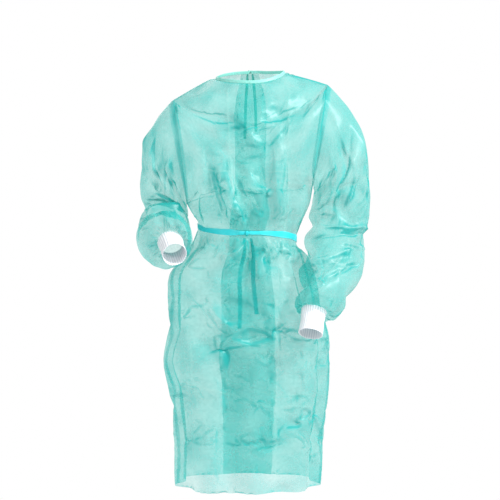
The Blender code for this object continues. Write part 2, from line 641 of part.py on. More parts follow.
def make_laid_strip(name, points, normals, rows, columns, width, material):
    """A narrow strip on the cloth's own points, down the given rows and along the given columns."""
    grid, out = [[], [], []], []
    for n, (row, column) in enumerate(zip(rows, columns)):
        i, j = min(int(row), points.shape[0] - 1), min(int(column), points.shape[1] - 2)
        spacing = np.linalg.norm(points[i, j + 1] - points[i, j])
        half = width / 2 / spacing * (STRIP_START + (1 - STRIP_START) * smooth_step(n / 2))
        for k, offset in enumerate((-1, 0, 1)):
            point, normal = on_grid(points, normals, row, column + offset * half, LAYER_GAP + BELT_WALL)
            grid[k].append(point)
            if offset == 0:
                out.append(normal)
    make_wall(name, np.array(grid), np.array([out] * 3), BELT_WALL, material, flip=True)


def make_knot(name, seat, out, size, material):
    """A plain knot as a flattened ball, standing out from its seat."""
    centre = seat + out * size.stand_off
    bpy.ops.mesh.primitive_uv_sphere_add(segments=12, ring_count=7, radius=1.0, location=centre)
    knot = bpy.context.active_object
    knot.name = knot.data.name = name
    knot.scale = (size.half_width, size.half_depth, size.half_height)
    bpy.ops.object.transform_apply()
    knot.data.materials.append(material)
    for holder in list(knot.users_collection):
        holder.objects.unlink(knot)
    GOWN.objects.link(knot)
    knot.data.shade_smooth()


def make_belt(panels, rows, binding):
    """The belt in two halves, tacked to the middle of the front and tied behind, on the panels' own points."""
    front, right, left = panels
    waist = rows.index(float(WAIST))
    centre = FRONT_COLUMNS / 2
    behind = OVERLAP_COLUMNS // 2
    left_columns, right_columns = left[0].shape[1], right[0].shape[1]
    for name, way in (("belt_right", -1), ("belt_left", 1)):
        stops = [(front, centre + way * c) for c in [BELT_START, *range(1, FRONT_COLUMNS // 2 + 1)]]
        if way > 0:
            stops += [(left, c) for c in range(left_columns - 2, behind, -1)]
        else:
            stops += [(right, c) for c in range(1, right_columns - 1 - OVERLAP_COLUMNS)]
            stops += [(left, c) for c in range(behind)]
        stops.append((left, behind + way * BELT_BEHIND))
        grid, out = [[], [], []], []
        for n, ((points, normals), column) in enumerate(stops):
            reach = BELT_NARROW + (1 - BELT_NARROW) * smooth_step(n / BELT_WIDENS[name])
            for k, offset in enumerate((-1, 0, 1)):
                row = waist + offset * reach
                point, normal = on_grid(points, normals, row, column, BELT_GAP + BELT_WALL)
                grid[k].append(point)
                if offset == 0:
                    out.append(normal)
        grid, out = np.array(grid)[:, ::way], np.array(out)[::way]
        make_wall(name, grid, np.array([out] * 3), BELT_WALL, binding)
    make_knot("belt_tack", *on_grid(*front, waist, centre, 0.0), BELT_TACK, binding)
    make_knot("belt_knot", *on_grid(*left, waist, behind, 0.0), BELT_KNOT, binding)
    for run in BELT_ENDS:
        make_hanging_end(left, run, waist, BELT_END_WIDTH, binding)


def make_hanging_end(panel, run, knot_row, width, binding):
    """One end of a tie or of the belt, hanging from its knot down the left back panel."""
    down = [knot_row + run.first_row] + [knot_row + run.from_row + n for n in range(run.rows)]
    across = [OVERLAP_COLUMNS / 2 + run.way * (run.start + run.spread * n) for n in range(run.rows + 1)]
    make_laid_strip(run.name, *panel, down, across, width, binding)


def make_neck_tie(left_panel, rim, outward, rising, binding):
    """The knot of the binding's ends at the nape, and the two ends hanging from it."""
    nape = (rim[0] + rim[-1]) / 2 + rising[0] * BINDING_HEIGHT / 2
    out = outward[0] + outward[-1]
    make_knot("neck_knot", nape, out / np.linalg.norm(out), NECK_KNOT, binding)
    for run in NECK_TIES:
        make_hanging_end(left_panel, run, 0, TIE_WIDTH, binding)


GOWN = bpy.data.collections.new("visitor_gown")


def main():
    clear_scene()
    bpy.context.scene.collection.children.link(GOWN)
    cloth = make_material("mint_nonwoven", MINT_CLOTH, 0.55)
    binding = make_material("mint_binding", MINT_BINDING, 0.5)
    knit = make_material("white_knit", WHITE_KNIT, 0.85)
    panels, rows = make_body(cloth)
    rim, outward, rising = make_neck_binding(panels, binding)
    make_neck_tie(panels[2], rim, outward, rising, binding)
    make_cuff("cuff_left", LEFT_SLEEVE[-1], LEFT_CUFF_SLANT, knit)
    make_cuff("cuff_right", RIGHT_SLEEVE[-1], RIGHT_CUFF_SLANT, knit)
    make_belt(panels, rows, binding)


main()
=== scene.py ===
"""The look of a worn visitor gown: settled, creased cloth, its seams, binding, belt, ties and knitted cuffs.

X runs to the gown's left as it is worn, -Y is the front and +Z is up. All sizes are in metres, in the frame of
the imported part.
"""

import math

import bmesh
import bpy
import numpy as np
from bpy.props import FloatProperty, FloatVectorProperty, IntProperty, PointerProperty
from mathutils.kdtree import KDTree
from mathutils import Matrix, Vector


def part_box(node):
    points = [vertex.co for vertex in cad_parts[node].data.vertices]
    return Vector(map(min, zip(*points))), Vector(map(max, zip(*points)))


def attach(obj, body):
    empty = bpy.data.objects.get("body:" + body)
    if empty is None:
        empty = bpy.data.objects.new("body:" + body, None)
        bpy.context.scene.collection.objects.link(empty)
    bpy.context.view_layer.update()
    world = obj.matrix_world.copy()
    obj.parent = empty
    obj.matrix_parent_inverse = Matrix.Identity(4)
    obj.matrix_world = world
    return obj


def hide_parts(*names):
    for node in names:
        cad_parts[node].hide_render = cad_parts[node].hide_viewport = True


bl_info = {
    "name": "Worn visitor gown",
    "version": (1, 0, 0),
    "blender": (4, 5, 0),
    "location": "View3D > Sidebar > Gown",
    "description": "Dresses the packed visitor gown in settled cloth, with binding, belt, ties and cuffs",
    "category": "Object",
}

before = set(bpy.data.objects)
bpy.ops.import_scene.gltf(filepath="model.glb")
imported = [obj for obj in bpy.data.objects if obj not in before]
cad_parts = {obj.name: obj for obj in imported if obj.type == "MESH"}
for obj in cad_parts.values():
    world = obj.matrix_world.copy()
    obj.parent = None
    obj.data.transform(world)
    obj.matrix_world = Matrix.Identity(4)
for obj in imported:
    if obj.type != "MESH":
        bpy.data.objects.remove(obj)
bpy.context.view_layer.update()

FRONT, BACK_UNDER, BACK_OVER = "front_panel", "back_panel_right", "back_panel_left"
SLEEVE_NODES = {"sleeve_left": ["sleeve_left", "sleeve_left_forearm"], "sleeve_right": ["sleeve_right"]}
NECK_TIES = ["neck_tie_left", "neck_tie_right"]
BELT_HALVES = ["belt_left", "belt_right"]
BELT_ENDS = ["belt_end_left", "belt_end_right"]
# A face of a wall's thin rim has an edge shorter than this
RIM_EDGE, KNIT_RIM_EDGE, STRIP_RIM_EDGE = 0.0019, 0.0023, 0.0014
# Points nearer than this are one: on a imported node, at the coarse grids' seams, and on a finished piece
SAME_POINT, SAME_SEAM_POINT, SAME_FINE_POINT = 1e-5, 1e-4, 2e-5


def linear(code):
    """An sRGB hex colour as linear red, green, blue and alpha."""
    parts = [int(code[i : i + 2], 16) / 255 for i in (1, 3, 5)]
    return [*(p / 12.92 if p <= 0.04045 else ((p + 0.055) / 1.055) ** 2.4 for p in parts), 1.0]


def length_of(name, text, default, low, high):
    """A length in metres that a user can set."""
    return FloatProperty(
        name=name, description=text, default=default, min=low, max=high, subtype="DISTANCE", unit="LENGTH"
    )


def share_of(name, text, default):
    return FloatProperty(name=name, description=text, default=default, min=0, max=1, subtype="FACTOR")


def colour_of(name, text, code):
    return FloatVectorProperty(
        name=name, description=text, default=linear(code)[:3], min=0, max=1, size=3, subtype="COLOR"
    )


class GownClothSettings(bpy.types.PropertyGroup):
    """Sizes of the gown's cloth."""

    settle_cell: length_of("Settling grid", "Spacing of the cloth's settling grid", 0.007, 0.005, 0.02)
    settle_frames: IntProperty(
        name="Settling steps", description="How long the cloth settles", default=16, min=0, max=40
    )
    slack: share_of("Slack", "How much larger the cloth is than the form that it hangs on", 0.030)
    hold: share_of("Hold", "How firmly the form holds the cloth between its seams", 0.14)
    settle_cap: length_of("Settling reach", "The furthest that settling moves the cloth", 0.008, 0, 0.02)
    fine_cell: length_of("Fine grid", "Spacing of the finished cloth's grid", 0.0034, 0.002, 0.01)
    crumple: length_of("Crumple", "Height of the small crumples all over the cloth", 0.00055, 0, 0.003)
    allowance: length_of("Seam allowance", "Width of the doubled cloth behind a seam", 0.007, 0.002, 0.015)


class GownColourSettings(bpy.types.PropertyGroup):
    """Colours of the gown's finishes."""

    cloth: colour_of("Cloth", "Single layer of the nonwoven cloth", "#43c6c0")
    # The dense colour is also painted as shade on the flanks of folds
    dense: colour_of("Dense cloth", "The cloth where its fibres lie thick or it is doubled", "#0fb0ac")
    binding: colour_of("Binding", "The neck's binding and ties, of thinly folded cloth", "#a6ece2")
    belt: colour_of("Belt", "The belt and its ends, of closely folded cloth", "#3deaf0")
    knit: colour_of("Knit", "The white rib knit of the cuffs", "#f1f2f5")
    floor: colour_of("Floor", "The studio floor", "#f4f5f6")
    clearness: share_of("Clearness", "How much shows through one layer of the cloth", 0.73)


# Points and curves


def points_of(verts):
    return np.array([v.co[:] for v in verts])


def unit(vectors):
    return vectors / np.maximum(np.linalg.norm(vectors, axis=-1, keepdims=True), 1e-12)


def smooth_step(x, start=0.0, width=1.0):
    """A soft step from 0 to 1 over the given width."""
    x = np.clip((x - start) / width, 0.0, 1.0)
    return x * x * (3 - 2 * x)


def travelled(points):
    """How far along a line each of its points lies."""
    return np.concatenate([[0], np.cumsum(np.linalg.norm(np.diff(points, axis=0), axis=1))])


def distances(grid, axis):
    """The mean distance of each row or column of a grid from the first."""
    steps = np.linalg.norm(np.diff(grid, axis=axis), axis=2).mean(axis=1 - axis)
    return np.concatenate([[0], np.cumsum(steps)])


def divided(at, counts):
    """Distances with so many even steps in each gap."""
    steps = [at[i] + (at[i + 1] - at[i]) * np.arange(n) / n for i, n in enumerate(counts)]
    return np.concatenate([*steps, [at[-1]]])


def smooth_read(points, at, new, closed=False):
    """Points given at distances along the first axis, read at new distances on a smooth curve."""
    points, at = np.asarray(points, float), np.asarray(at, float)
    if closed:
        body, inner = points[:-1], at[:-1]
        points = np.concatenate([body[-2:], body, body[:2]])
        at = np.concatenate([inner[-2:] - at[-1], inner, inner[:2] + at[-1]])
    wide = (-1,) + (1,) * (points.ndim - 1)
    gaps = np.diff(at)
    slopes = np.diff(points, axis=0) / gaps.reshape(wide)
    weight = (gaps[1:] / (gaps[1:] + gaps[:-1])).reshape(wide)
    tangents = np.concatenate([slopes[:1], slopes[:-1] * weight + slopes[1:] * (1 - weight), slopes[-1:]])
    k = np.clip(np.searchsorted(at, new, side="right") - 1, 0, len(at) - 2)
    gap = gaps[k].reshape(wide)
    f = (new - at[k]).reshape(wide) / gap
    return (
        (2 * f**3 - 3 * f**2 + 1) * points[k]
        + (f**3 - 2 * f**2 + f) * gap * tangents[k]
        + (3 * f**2 - 2 * f**3) * points[k + 1]
        + (f**3 - f**2) * gap * tangents[k + 1]
    )


def read_columns(grid, at, new, closed):
    return smooth_read(grid.transpose(1, 0, 2), at, new, closed).transpose(1, 0, 2)


def normals_of(grid, flip, closed=False):
    """Outward unit normals of a grid. A closed one's last column repeats its first."""
    if closed:
        ring = grid[:, :-1]
        around = np.roll(ring, -1, axis=1) - np.roll(ring, 1, axis=1)
        around = np.concatenate([around, around[:, :1]], axis=1)
    else:
        around = np.gradient(grid, axis=1)
    normals = unit(np.cross(np.gradient(grid, axis=0), around))
    return -normals if flip else normals


def near_tree(points):
    tree = KDTree(len(points))
    for i, point in enumerate(points):
        tree.insert(point, i)
    tree.balance()
    return tree


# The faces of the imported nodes, read row by row


def outer_face(node, reference, rim_edge=RIM_EDGE):
    """The outer face of a node's thin wall, open at its edges. reference gives the point that a face looks away
    from."""
    shape = bmesh.new()
    shape.from_mesh(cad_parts[node].data)
    bmesh.ops.remove_doubles(shape, verts=shape.verts[:], dist=SAME_POINT)
    shape.normal_update()
    rims = [f for f in shape.faces if min(e.calc_length() for e in f.edges) < rim_edge]
    bmesh.ops.delete(shape, geom=rims, context="FACES")
    seen, best = set(), (-math.inf, [])
    for first in shape.faces:
        if first in seen:
            continue
        seen.add(first)
        island, stack, score = [], [first], 0.0
        while stack:
            face = stack.pop()
            island.append(face)
            centre = np.array(face.calc_center_median())
            score += face.calc_area() * float(np.dot(face.normal, centre - reference(centre)))
            for other in (link for edge in face.edges for link in edge.link_faces):
                if other not in seen:
                    seen.add(other)
                    stack.append(other)
        best = max(best, (score, island), key=lambda found: found[0])
    keep = set(best[1])
    bmesh.ops.delete(shape, geom=[f for f in shape.faces if f not in keep], context="FACES")
    return shape


def from_axis(centre):
    return np.array([0.0, 0.0, centre[2]])


def box_of(node):
    """The middle of a node's box and half its size."""
    low, high = (np.array(corner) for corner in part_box(node))
    return (low + high) / 2, (high - low) / 2


def from_middle(node):
    middle = box_of(node)[0]
    return lambda centre: middle


def across_edge(a, b, used):
    """The third corner of the unused triangle on the edge from a to b."""
    for face in a.link_faces:
        if face not in used and b in face.verts:
            used.add(face)
            return next(v for v in face.verts if v not in (a, b))
    return None


def along_border(corner, before):
    for edge in corner.link_edges:
        if edge.is_boundary and edge.other_vert(corner) is not before:
            return edge.other_vert(corner)
    return None


def border_loop(start):
    """The border that a point lies on, once round."""
    loop, before = [start], None
    while (following := along_border(loop[-1], before)) is not start:
        before = loop[-1]
        loop.append(following)
    return loop


def border_paths(start, corners):
    """The two stretches of border that leave a corner, each as far as the next corner."""
    paths = []
    for edge in (link for link in start.link_edges if link.is_boundary):
        path = [start, edge.other_vert(start)]
        while path[-1] not in corners:
            path.append(along_border(path[-1], path[-2]))
        paths.append(path)
    return paths


def use_between(row, below, used):
    both = set(row) | set(below)
    used.update(f for v in below for f in v.link_faces if all(x in both for x in f.verts))


def open_rows(shape):
    """The points of an open sheet row by row, down from the border between its two highest corners."""
    corners = [v for v in shape.verts if v.is_boundary and len(v.link_faces) <= 2]
    start, end = sorted(sorted(corners, key=lambda v: -v.co.z)[:2], key=lambda v: v.co.x)
    paths = border_paths(start, corners)
    row = next(path for path in paths if path[-1] is end)
    side = next(path for path in paths if path[-1] is not end)
    before, right = row[-2], row[-1]
    rows, used = [row], set()
    for left in side[1:]:
        row = rows[-1]
        below = [across_edge(a, b, used) for a, b in zip(row, row[1:])]
        before, right = right, along_border(right, before)
        if left is not below[0]:
            below.insert(0, left)
        if len(below) < len(row):
            below.append(right)
        use_between(row, below, used)
        rows.append(below)
    return np.array([points_of(row) for row in rows])


def tube_rows(shape):
    """The points of a tube ring by ring from its higher end, each ring from its highest point over the front."""
    ring = border_loop(max((v for v in shape.verts if v.is_boundary), key=lambda v: v.co.z))
    quarter = len(ring) // 4
    if ring[quarter].co.y > ring[-quarter].co.y:
        ring = ring[:1] + ring[:0:-1]
    rings, used = [ring], set()
    while True:
        row = rings[-1]
        ahead = row[1:] + row[:1]
        below = [across_edge(a, b, used) for a, b in zip(row, ahead)]
        if below[0] is None:
            return np.array([points_of(ring) for ring in rings])
        straight = sum((t.co - a.co).length for t, a in zip(below, row))
        slanted = sum((t.co - b.co).length for t, b in zip(below, ahead))
        if slanted < straight:
            below = below[-1:] + below[:-1]
        use_between(row, below, used)
        rings.append(below)


def sleeve_rings(nodes):
    """The rings of a sleeve that is held as one tube or as several, from the armhole to the cuff."""
    rings = None
    for node in nodes:
        tube = tube_rows(outer_face(node, from_middle(node)))
        if rings is None:
            rings = tube
            continue
        turns = [np.roll(way, k, axis=1) for way in (tube, tube[:, ::-1]) for k in range(tube.shape[1])]
        tube = min(turns, key=lambda turned: np.abs(turned[0] - rings[-1]).sum())
        rings = np.concatenate([rings[:-1], ((rings[-1] + tube[0]) / 2)[None], tube[1:]])
    return rings


def strip_rows(shape, start_key):
    """A strip's two long edges and the line midway between them, from the end that comes first by start_key."""
    loop = points_of(border_loop(next(v for v in shape.verts if v.is_boundary)))
    ahead = unit(np.roll(loop, -1, axis=0) - loop)
    straight = (ahead * np.roll(ahead, 1, axis=0)).sum(axis=1)
    corners = np.sort(np.argsort(straight)[:4])
    loop = np.roll(loop, -corners[0], axis=0)
    loop = np.concatenate([loop, loop[:1]])
    ends = [*(corners - corners[0]), len(loop) - 1]
    sides = [loop[a : b + 1] for a, b in zip(ends, ends[1:])]
    at = [travelled(side) for side in sides]
    first = 0 if at[0][-1] > at[1][-1] else 1
    pair = (first, first + 2)
    count = max(len(sides[k]) for k in pair)
    one, other = (smooth_read(sides[k], at[k], np.linspace(0, at[k][-1], count)) for k in pair)
    rows = np.stack([one, (one + other[::-1]) / 2, other[::-1]], axis=1)
    return rows if start_key(rows[0, 1]) < start_key(rows[-1, 1]) else rows[::-1]


# The cloth's grids


class Panel:
    """One cut piece of the gown's cloth, as the grid of its outer face."""

    side_width = 0.06  # how far in from a side its rows are read in stretches

    def __init__(self, name, nodes, rough, closed, flip):
        self.name, self.nodes, self.closed, self.flip = name, nodes, closed, flip
        self.rough = np.concatenate([rough, rough[:, :1]], axis=1) if closed else rough
        self.row_at, self.column_at = distances(self.rough, 0), distances(self.rough, 1)
        self.corners = ()

    def places(self, counts):
        """The distances of a finer grid's rows and columns."""
        return divided(self.row_at, counts[0]), divided(self.column_at, counts[1])

    def form(self, counts):
        """The rough form on a finer grid."""
        return self.read(self.rough, (self.row_at, self.column_at), counts)

    def read(self, values, at, counts):
        """Values whose rows and columns lie at the given distances, read on a finer grid."""
        rows, columns = at
        new_rows, new_columns = self.places(counts)
        values = self.read_rows(values, rows, columns, new_rows)
        return read_columns(values, columns, new_columns, self.closed)

    def read_rows(self, values, rows, columns, new):
        """Values at new rows. Near a panel's sides, each stretch between the ends of its armhole is read alone, so
        that the edge keeps its corners there."""
        whole = smooth_read(values, rows, new)
        if self.closed:
            return whole
        corners = [int(np.abs(rows - self.row_at[corner]).argmin()) for corner in self.corners]
        cuts = [0, *corners, len(rows) - 1]
        apart = np.empty_like(whole)
        for first, last in zip(cuts, cuts[1:]):
            inside = (new > rows[first] - 1e-9) & (new < rows[last] + 1e-9)
            apart[inside] = smooth_read(values[first : last + 1], rows[first : last + 1], new[inside])
        side = smooth_step(np.minimum(columns, columns[-1] - columns), 0, self.side_width)[:, None]
        return whole * side + apart * (1 - side)


def read_panels():
    rough = {node: open_rows(outer_face(node, from_axis)) for node in (FRONT, BACK_UNDER, BACK_OVER)}
    panels = [Panel(node, [node], rough[node], False, node != FRONT) for node in rough]
    for name, nodes in SLEEVE_NODES.items():
        panels.append(Panel(name, nodes, sleeve_rings(nodes), True, name == "sleeve_left"))
    for panel in panels[1:3]:
        panel.row_at = panels[0].row_at
    return {panel.name: panel for panel in panels}


def armhole_rows(panels):
    """The rows of the front between which the sleeves are set in."""
    ring = panels["sleeve_left"].rough[0]
    reach = 0.002
    edge = panels[FRONT].rough[:, -1]
    near = [i for i, point in enumerate(edge) if np.linalg.norm(ring - point, axis=1).min() < reach]
    return near[0], near[-1]


def grid_counts(panels, cell, armhole):
    """How many steps each gap of each panel's grid gets, the same on both sides of a seam."""
    first, last = armhole
    body_at = panels[FRONT].row_at
    each = max(2, round(float(np.diff(body_at)[first:last].mean()) / cell))

    def steps(at):
        return [max(1, round(gap / cell)) for gap in np.diff(at)]

    body = steps(body_at)
    body[first:last] = [each] * (last - first)
    counts = {}
    for name, panel in panels.items():
        if panel.closed:
            counts[name] = (steps(panel.row_at), [each] * (panel.rough.shape[1] - 1))
        else:
            counts[name] = (body, steps(panel.column_at))
    return counts


def sew(grids, armhole, counts):
    """The panels' edges brought together where they are sewn."""
    rows = counts[FRONT][0]
    first, last = sum(rows[: armhole[0]]), sum(rows[: armhole[1]])
    half = last - first
    front = grids[FRONT]
    for side, back, sleeve in ((-1, BACK_OVER, "sleeve_left"), (0, BACK_UNDER, "sleeve_right")):
        behind, ring = grids[back], grids[sleeve][0]
        middle = (front[:, side] + behind[:, side]) / 2
        for part in (slice(None, first + 1), slice(last, None)):
            front[part, side] = behind[part, side] = middle[part]
        over_front = (ring[: half + 1] + front[first : last + 1, side]) / 2
        over_back = (ring[half:] + behind[first : last + 1, side][::-1]) / 2
        over_front[0] = over_back[-1] = middle[first]
        over_front[-1] = over_back[0] = middle[last]
        ring[: half + 1] = front[first : last + 1, side] = over_front
        ring[half:] = over_back
        behind[first : last + 1, side] = over_back[::-1]


def quads(rows, columns, flip, start=0):
    """The faces of a grid of points, as rows of four numbers."""
    i, j = np.meshgrid(np.arange(rows - 1), np.arange(columns - 1), indexing="ij")
    corner = start + i * columns + j
    faces = np.stack([corner, corner + columns, corner + columns + 1, corner + 1], axis=-1).reshape(-1, 4)
    return faces[:, ::-1] if flip else faces


# Settling the cloth. A pair is the distance at which a fade starts and its width.

STRIP_HOLD = (0.008, 0.035)
OVERLAP = (0.006, 0.03)
HEM_HOLD, HEM_TOP = 0.4, -1.0
CLOTH_WEAR = {
    "quality": 5,
    "mass": 0.05,
    "tension_stiffness": 30,
    "compression_stiffness": 30,
    "shear_stiffness": 15,
    "bending_stiffness": 5,
    "vertex_group_mass": "hold",
    "pin_stiffness": 1.0,
}


def strip_points():
    """Points along the edges of the belt, its ends and the ties, which the cloth under them stays close to."""
    per_edge = 9
    share = np.linspace(0, 1, per_edge)[:, None, None]
    found = []
    for node in BELT_HALVES + BELT_ENDS + NECK_TIES:
        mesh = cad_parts[node].data
        ends = points_of(mesh.vertices)[np.array([edge.vertices[:] for edge in mesh.edges])]
        found.append((ends[:, 0] * (1 - share) + ends[:, 1] * share).reshape(-1, 3))
    return np.concatenate(found)


def sewn_cloth(panels, grids, loose):
    """The coarse grids as one object, with a group that says how firmly each point keeps its place. loose is how
    firmly it does between the seams."""
    points, faces = [], []
    for name, grid in grids.items():
        faces += quads(*grid.shape[:2], panels[name].flip, len(points)).tolist()
        points += grid.reshape(-1, 3).tolist()
    mesh = bpy.data.meshes.new("settling")
    mesh.from_pydata(points, [], faces)
    shape = bmesh.new()
    shape.from_mesh(mesh)
    bmesh.ops.remove_doubles(shape, verts=shape.verts[:], dist=SAME_SEAM_POINT)
    strips = near_tree(strip_points())
    holds = {}
    for v in shape.verts:
        if v.is_boundary:
            hold = HEM_HOLD if v.co.z < HEM_TOP else 1.0
        else:
            hold = max(loose, 1 - float(smooth_step(strips.find(v.co)[2], *STRIP_HOLD)))
        holds.setdefault(hold, []).append(v.index)
    shape.to_mesh(mesh)
    shape.free()
    cloth = bpy.data.objects.new("settling", mesh)
    bpy.context.scene.collection.objects.link(cloth)
    group = cloth.vertex_groups.new(name="hold")
    for hold, indices in holds.items():
        group.add(indices, hold, "REPLACE")
    return cloth


def settle(panels, counts, armhole, settings):
    """How far each point of the coarse grids moves as the slack cloth buckles, held softly to its form."""
    grids = {name: panel.form(counts[name]) for name, panel in panels.items()}
    sew(grids, armhole, counts)
    cloth = sewn_cloth(panels, grids, settings.hold)
    rest = points_of(cloth.data.vertices)
    modifier = cloth.modifiers.new("settle", "CLOTH")
    for key, value in CLOTH_WEAR.items():
        setattr(modifier.settings, key, value)
    modifier.settings.shrink_min = -settings.slack
    modifier.settings.effector_weights.gravity = 0
    modifier.collision_settings.use_collision = False
    for step in range(1, settings.settle_frames + 1):
        bpy.context.scene.frame_set(step)
    settled = cloth.evaluated_get(bpy.context.evaluated_depsgraph_get()).to_mesh()
    moved = points_of(settled.vertices) - rest
    far = np.linalg.norm(moved, axis=1, keepdims=True)
    moved *= settings.settle_cap * np.tanh(far / settings.settle_cap) / np.maximum(far, 1e-9)
    bpy.data.objects.remove(cloth)
    bpy.context.scene.frame_set(1)
    tree = near_tree(rest)
    shifts = {}
    for name, grid in grids.items():
        found = [tree.find(point)[1] for point in grid.reshape(-1, 3)]
        shifts[name] = moved[found].reshape(grid.shape)
    follow_over_panel(grids, shifts)
    return shifts


def follow_over_panel(grids, shifts):
    """The under back panel moves as the over one does where it is covered, so that they don't cross."""
    tree = near_tree(grids[BACK_OVER].reshape(-1, 3))
    over, under = shifts[BACK_OVER].reshape(-1, 3), shifts[BACK_UNDER]
    for index in np.ndindex(under.shape[:2]):
        _, i, near = tree.find(grids[BACK_UNDER][index])
        share = 1 - float(smooth_step(near, *OVERLAP))
        under[index] = under[index] * (1 - share) + over[i] * share


# Creases, given one by one. A row has the width and the height in tenths of a millimetre, then the points. On the
# front and the back these are x and z in millimetres. On a sleeve they are hundredths of the way from armhole to
# cuff, and degrees round it from its top over the front. A fold is a soft ridge, or a soft trough below zero. A
# sharp crease is what folding for the packet leaves.
PACKET_CREASES = [
    (35, 16, 101, -20, 101, -260, 96, -400, 73, -576, 67, -843, 64, -1090),
    (32, -13, -171, -594, -158, -706, -146, -822, -118, -1000),
    (35, 12, -58, -40, -54, -200, -46, -310),
    (30, 11, 39, -270, 158, -270),
    (30, -10, -150, -262, -30, -266),
    (30, 11, 34, -568, 80, -568),
    (30, -12, -161, -714, -65, -714),
    (30, 12, -18, -739, 67, -739, 150, -733),
    (32, 14, -174, -822, -110, -832, -49, -847, 3, -866, 52, -877, 168, -877),
]
FRONT_FOLDS = [
    (190, 80, -104, -215, -70, -300, -22, -400),
    (150, 60, -30, -286, 20, -318, 68, -330),
    (140, -50, -52, -262, -10, -336, 36, -372),
    (170, 60, -52, -105, -10, -150, 16, -215),
    (160, -50, 52, -80, 86, -140, 92, -225),
    (150, 45, -10, -450, -40, -480, -82, -500),
    (190, 70, -110, -560, -80, -680, -76, -800),
    (170, 60, 40, -600, 64, -720, 52, -830),
    (180, -55, 10, -640, -6, -780, 4, -930),
    (130, 42, 12, -452, 20, -500, 22, -556),
    (60, 34, -86, -235, -50, -340, -6, -422),
    (50, -28, -66, -250, -34, -345, 0, -420),
    (50, 28, -44, -252, -8, -330, 27, -402),
    (60, -26, 20, -200, 36, -300, 45, -400),
    (50, 24, 60, -180, 70, -300, 66, -415),
    (60, -30, -118, -190, -100, -300, -66, -412),
    (55, 30, 5, -441, -20, -462, -52, -492),
    (45, -30, 8, -444, 0, -480, -6, -540),
    (50, 28, 14, -446, 18, -500, 26, -560),
    (45, -22, 26, -450, 46, -500, 56, -560),
    (50, 24, 10, -424, -3, -400, -10, -372),
    (42, 20, 26, -434, 57, -424, 90, -404),
    (40, 18, 10, -107, 57, -120),
    (40, -16, 34, -128, 78, -151),
    (70, -24, -150, -605, -100, -655, -49, -706),
    (60, 26, -132, -600, -84, -644, -30, -690),
    (60, -28, -52, -706, -52, -908),
    (40, 17, -10, -262, -6, -268, 4, -284),
    (50, 22, 0, -590, 4, -612, 22, -622),
    (55, 22, -148, -806, -130, -830, -118, -860),
    (50, -20, -110, -812, -134, -830, -156, -842),
    (50, 20, 30, -846, 48, -860, 70, -868),
    (60, 26, 130, -620, 140, -760, 136, -900),
    (60, -22, 20, -900, 26, -1000, 20, -1090),
    (60, 24, -90, -900, -96, -1000, -88, -1090),
]
BACK_FOLDS = [
    (60, 30, -110, -190, -90, -300, -52, -408),
    (55, -28, -70, -170, -50, -290, -28, -400),
    (60, 28, 112, -170, 94, -300, 60, -410),
    (55, -26, 74, -200, 56, -300, 36, -404),
    (55, 28, -14, -452, -30, -490, -60, -530),
    (50, -26, 22, -450, 36, -500, 44, -580),
    (60, 26, 50, -450, 74, -520, 82, -640),
    (60, -26, -80, -460, -110, -540, -118, -660),
    (70, 28, -70, -640, -76, -800, -60, -1080),
    (65, -28, 60, -640, 56, -820, 70, -1080),
    (60, 22, 120, -700, 128, -860, 120, -1060),
]
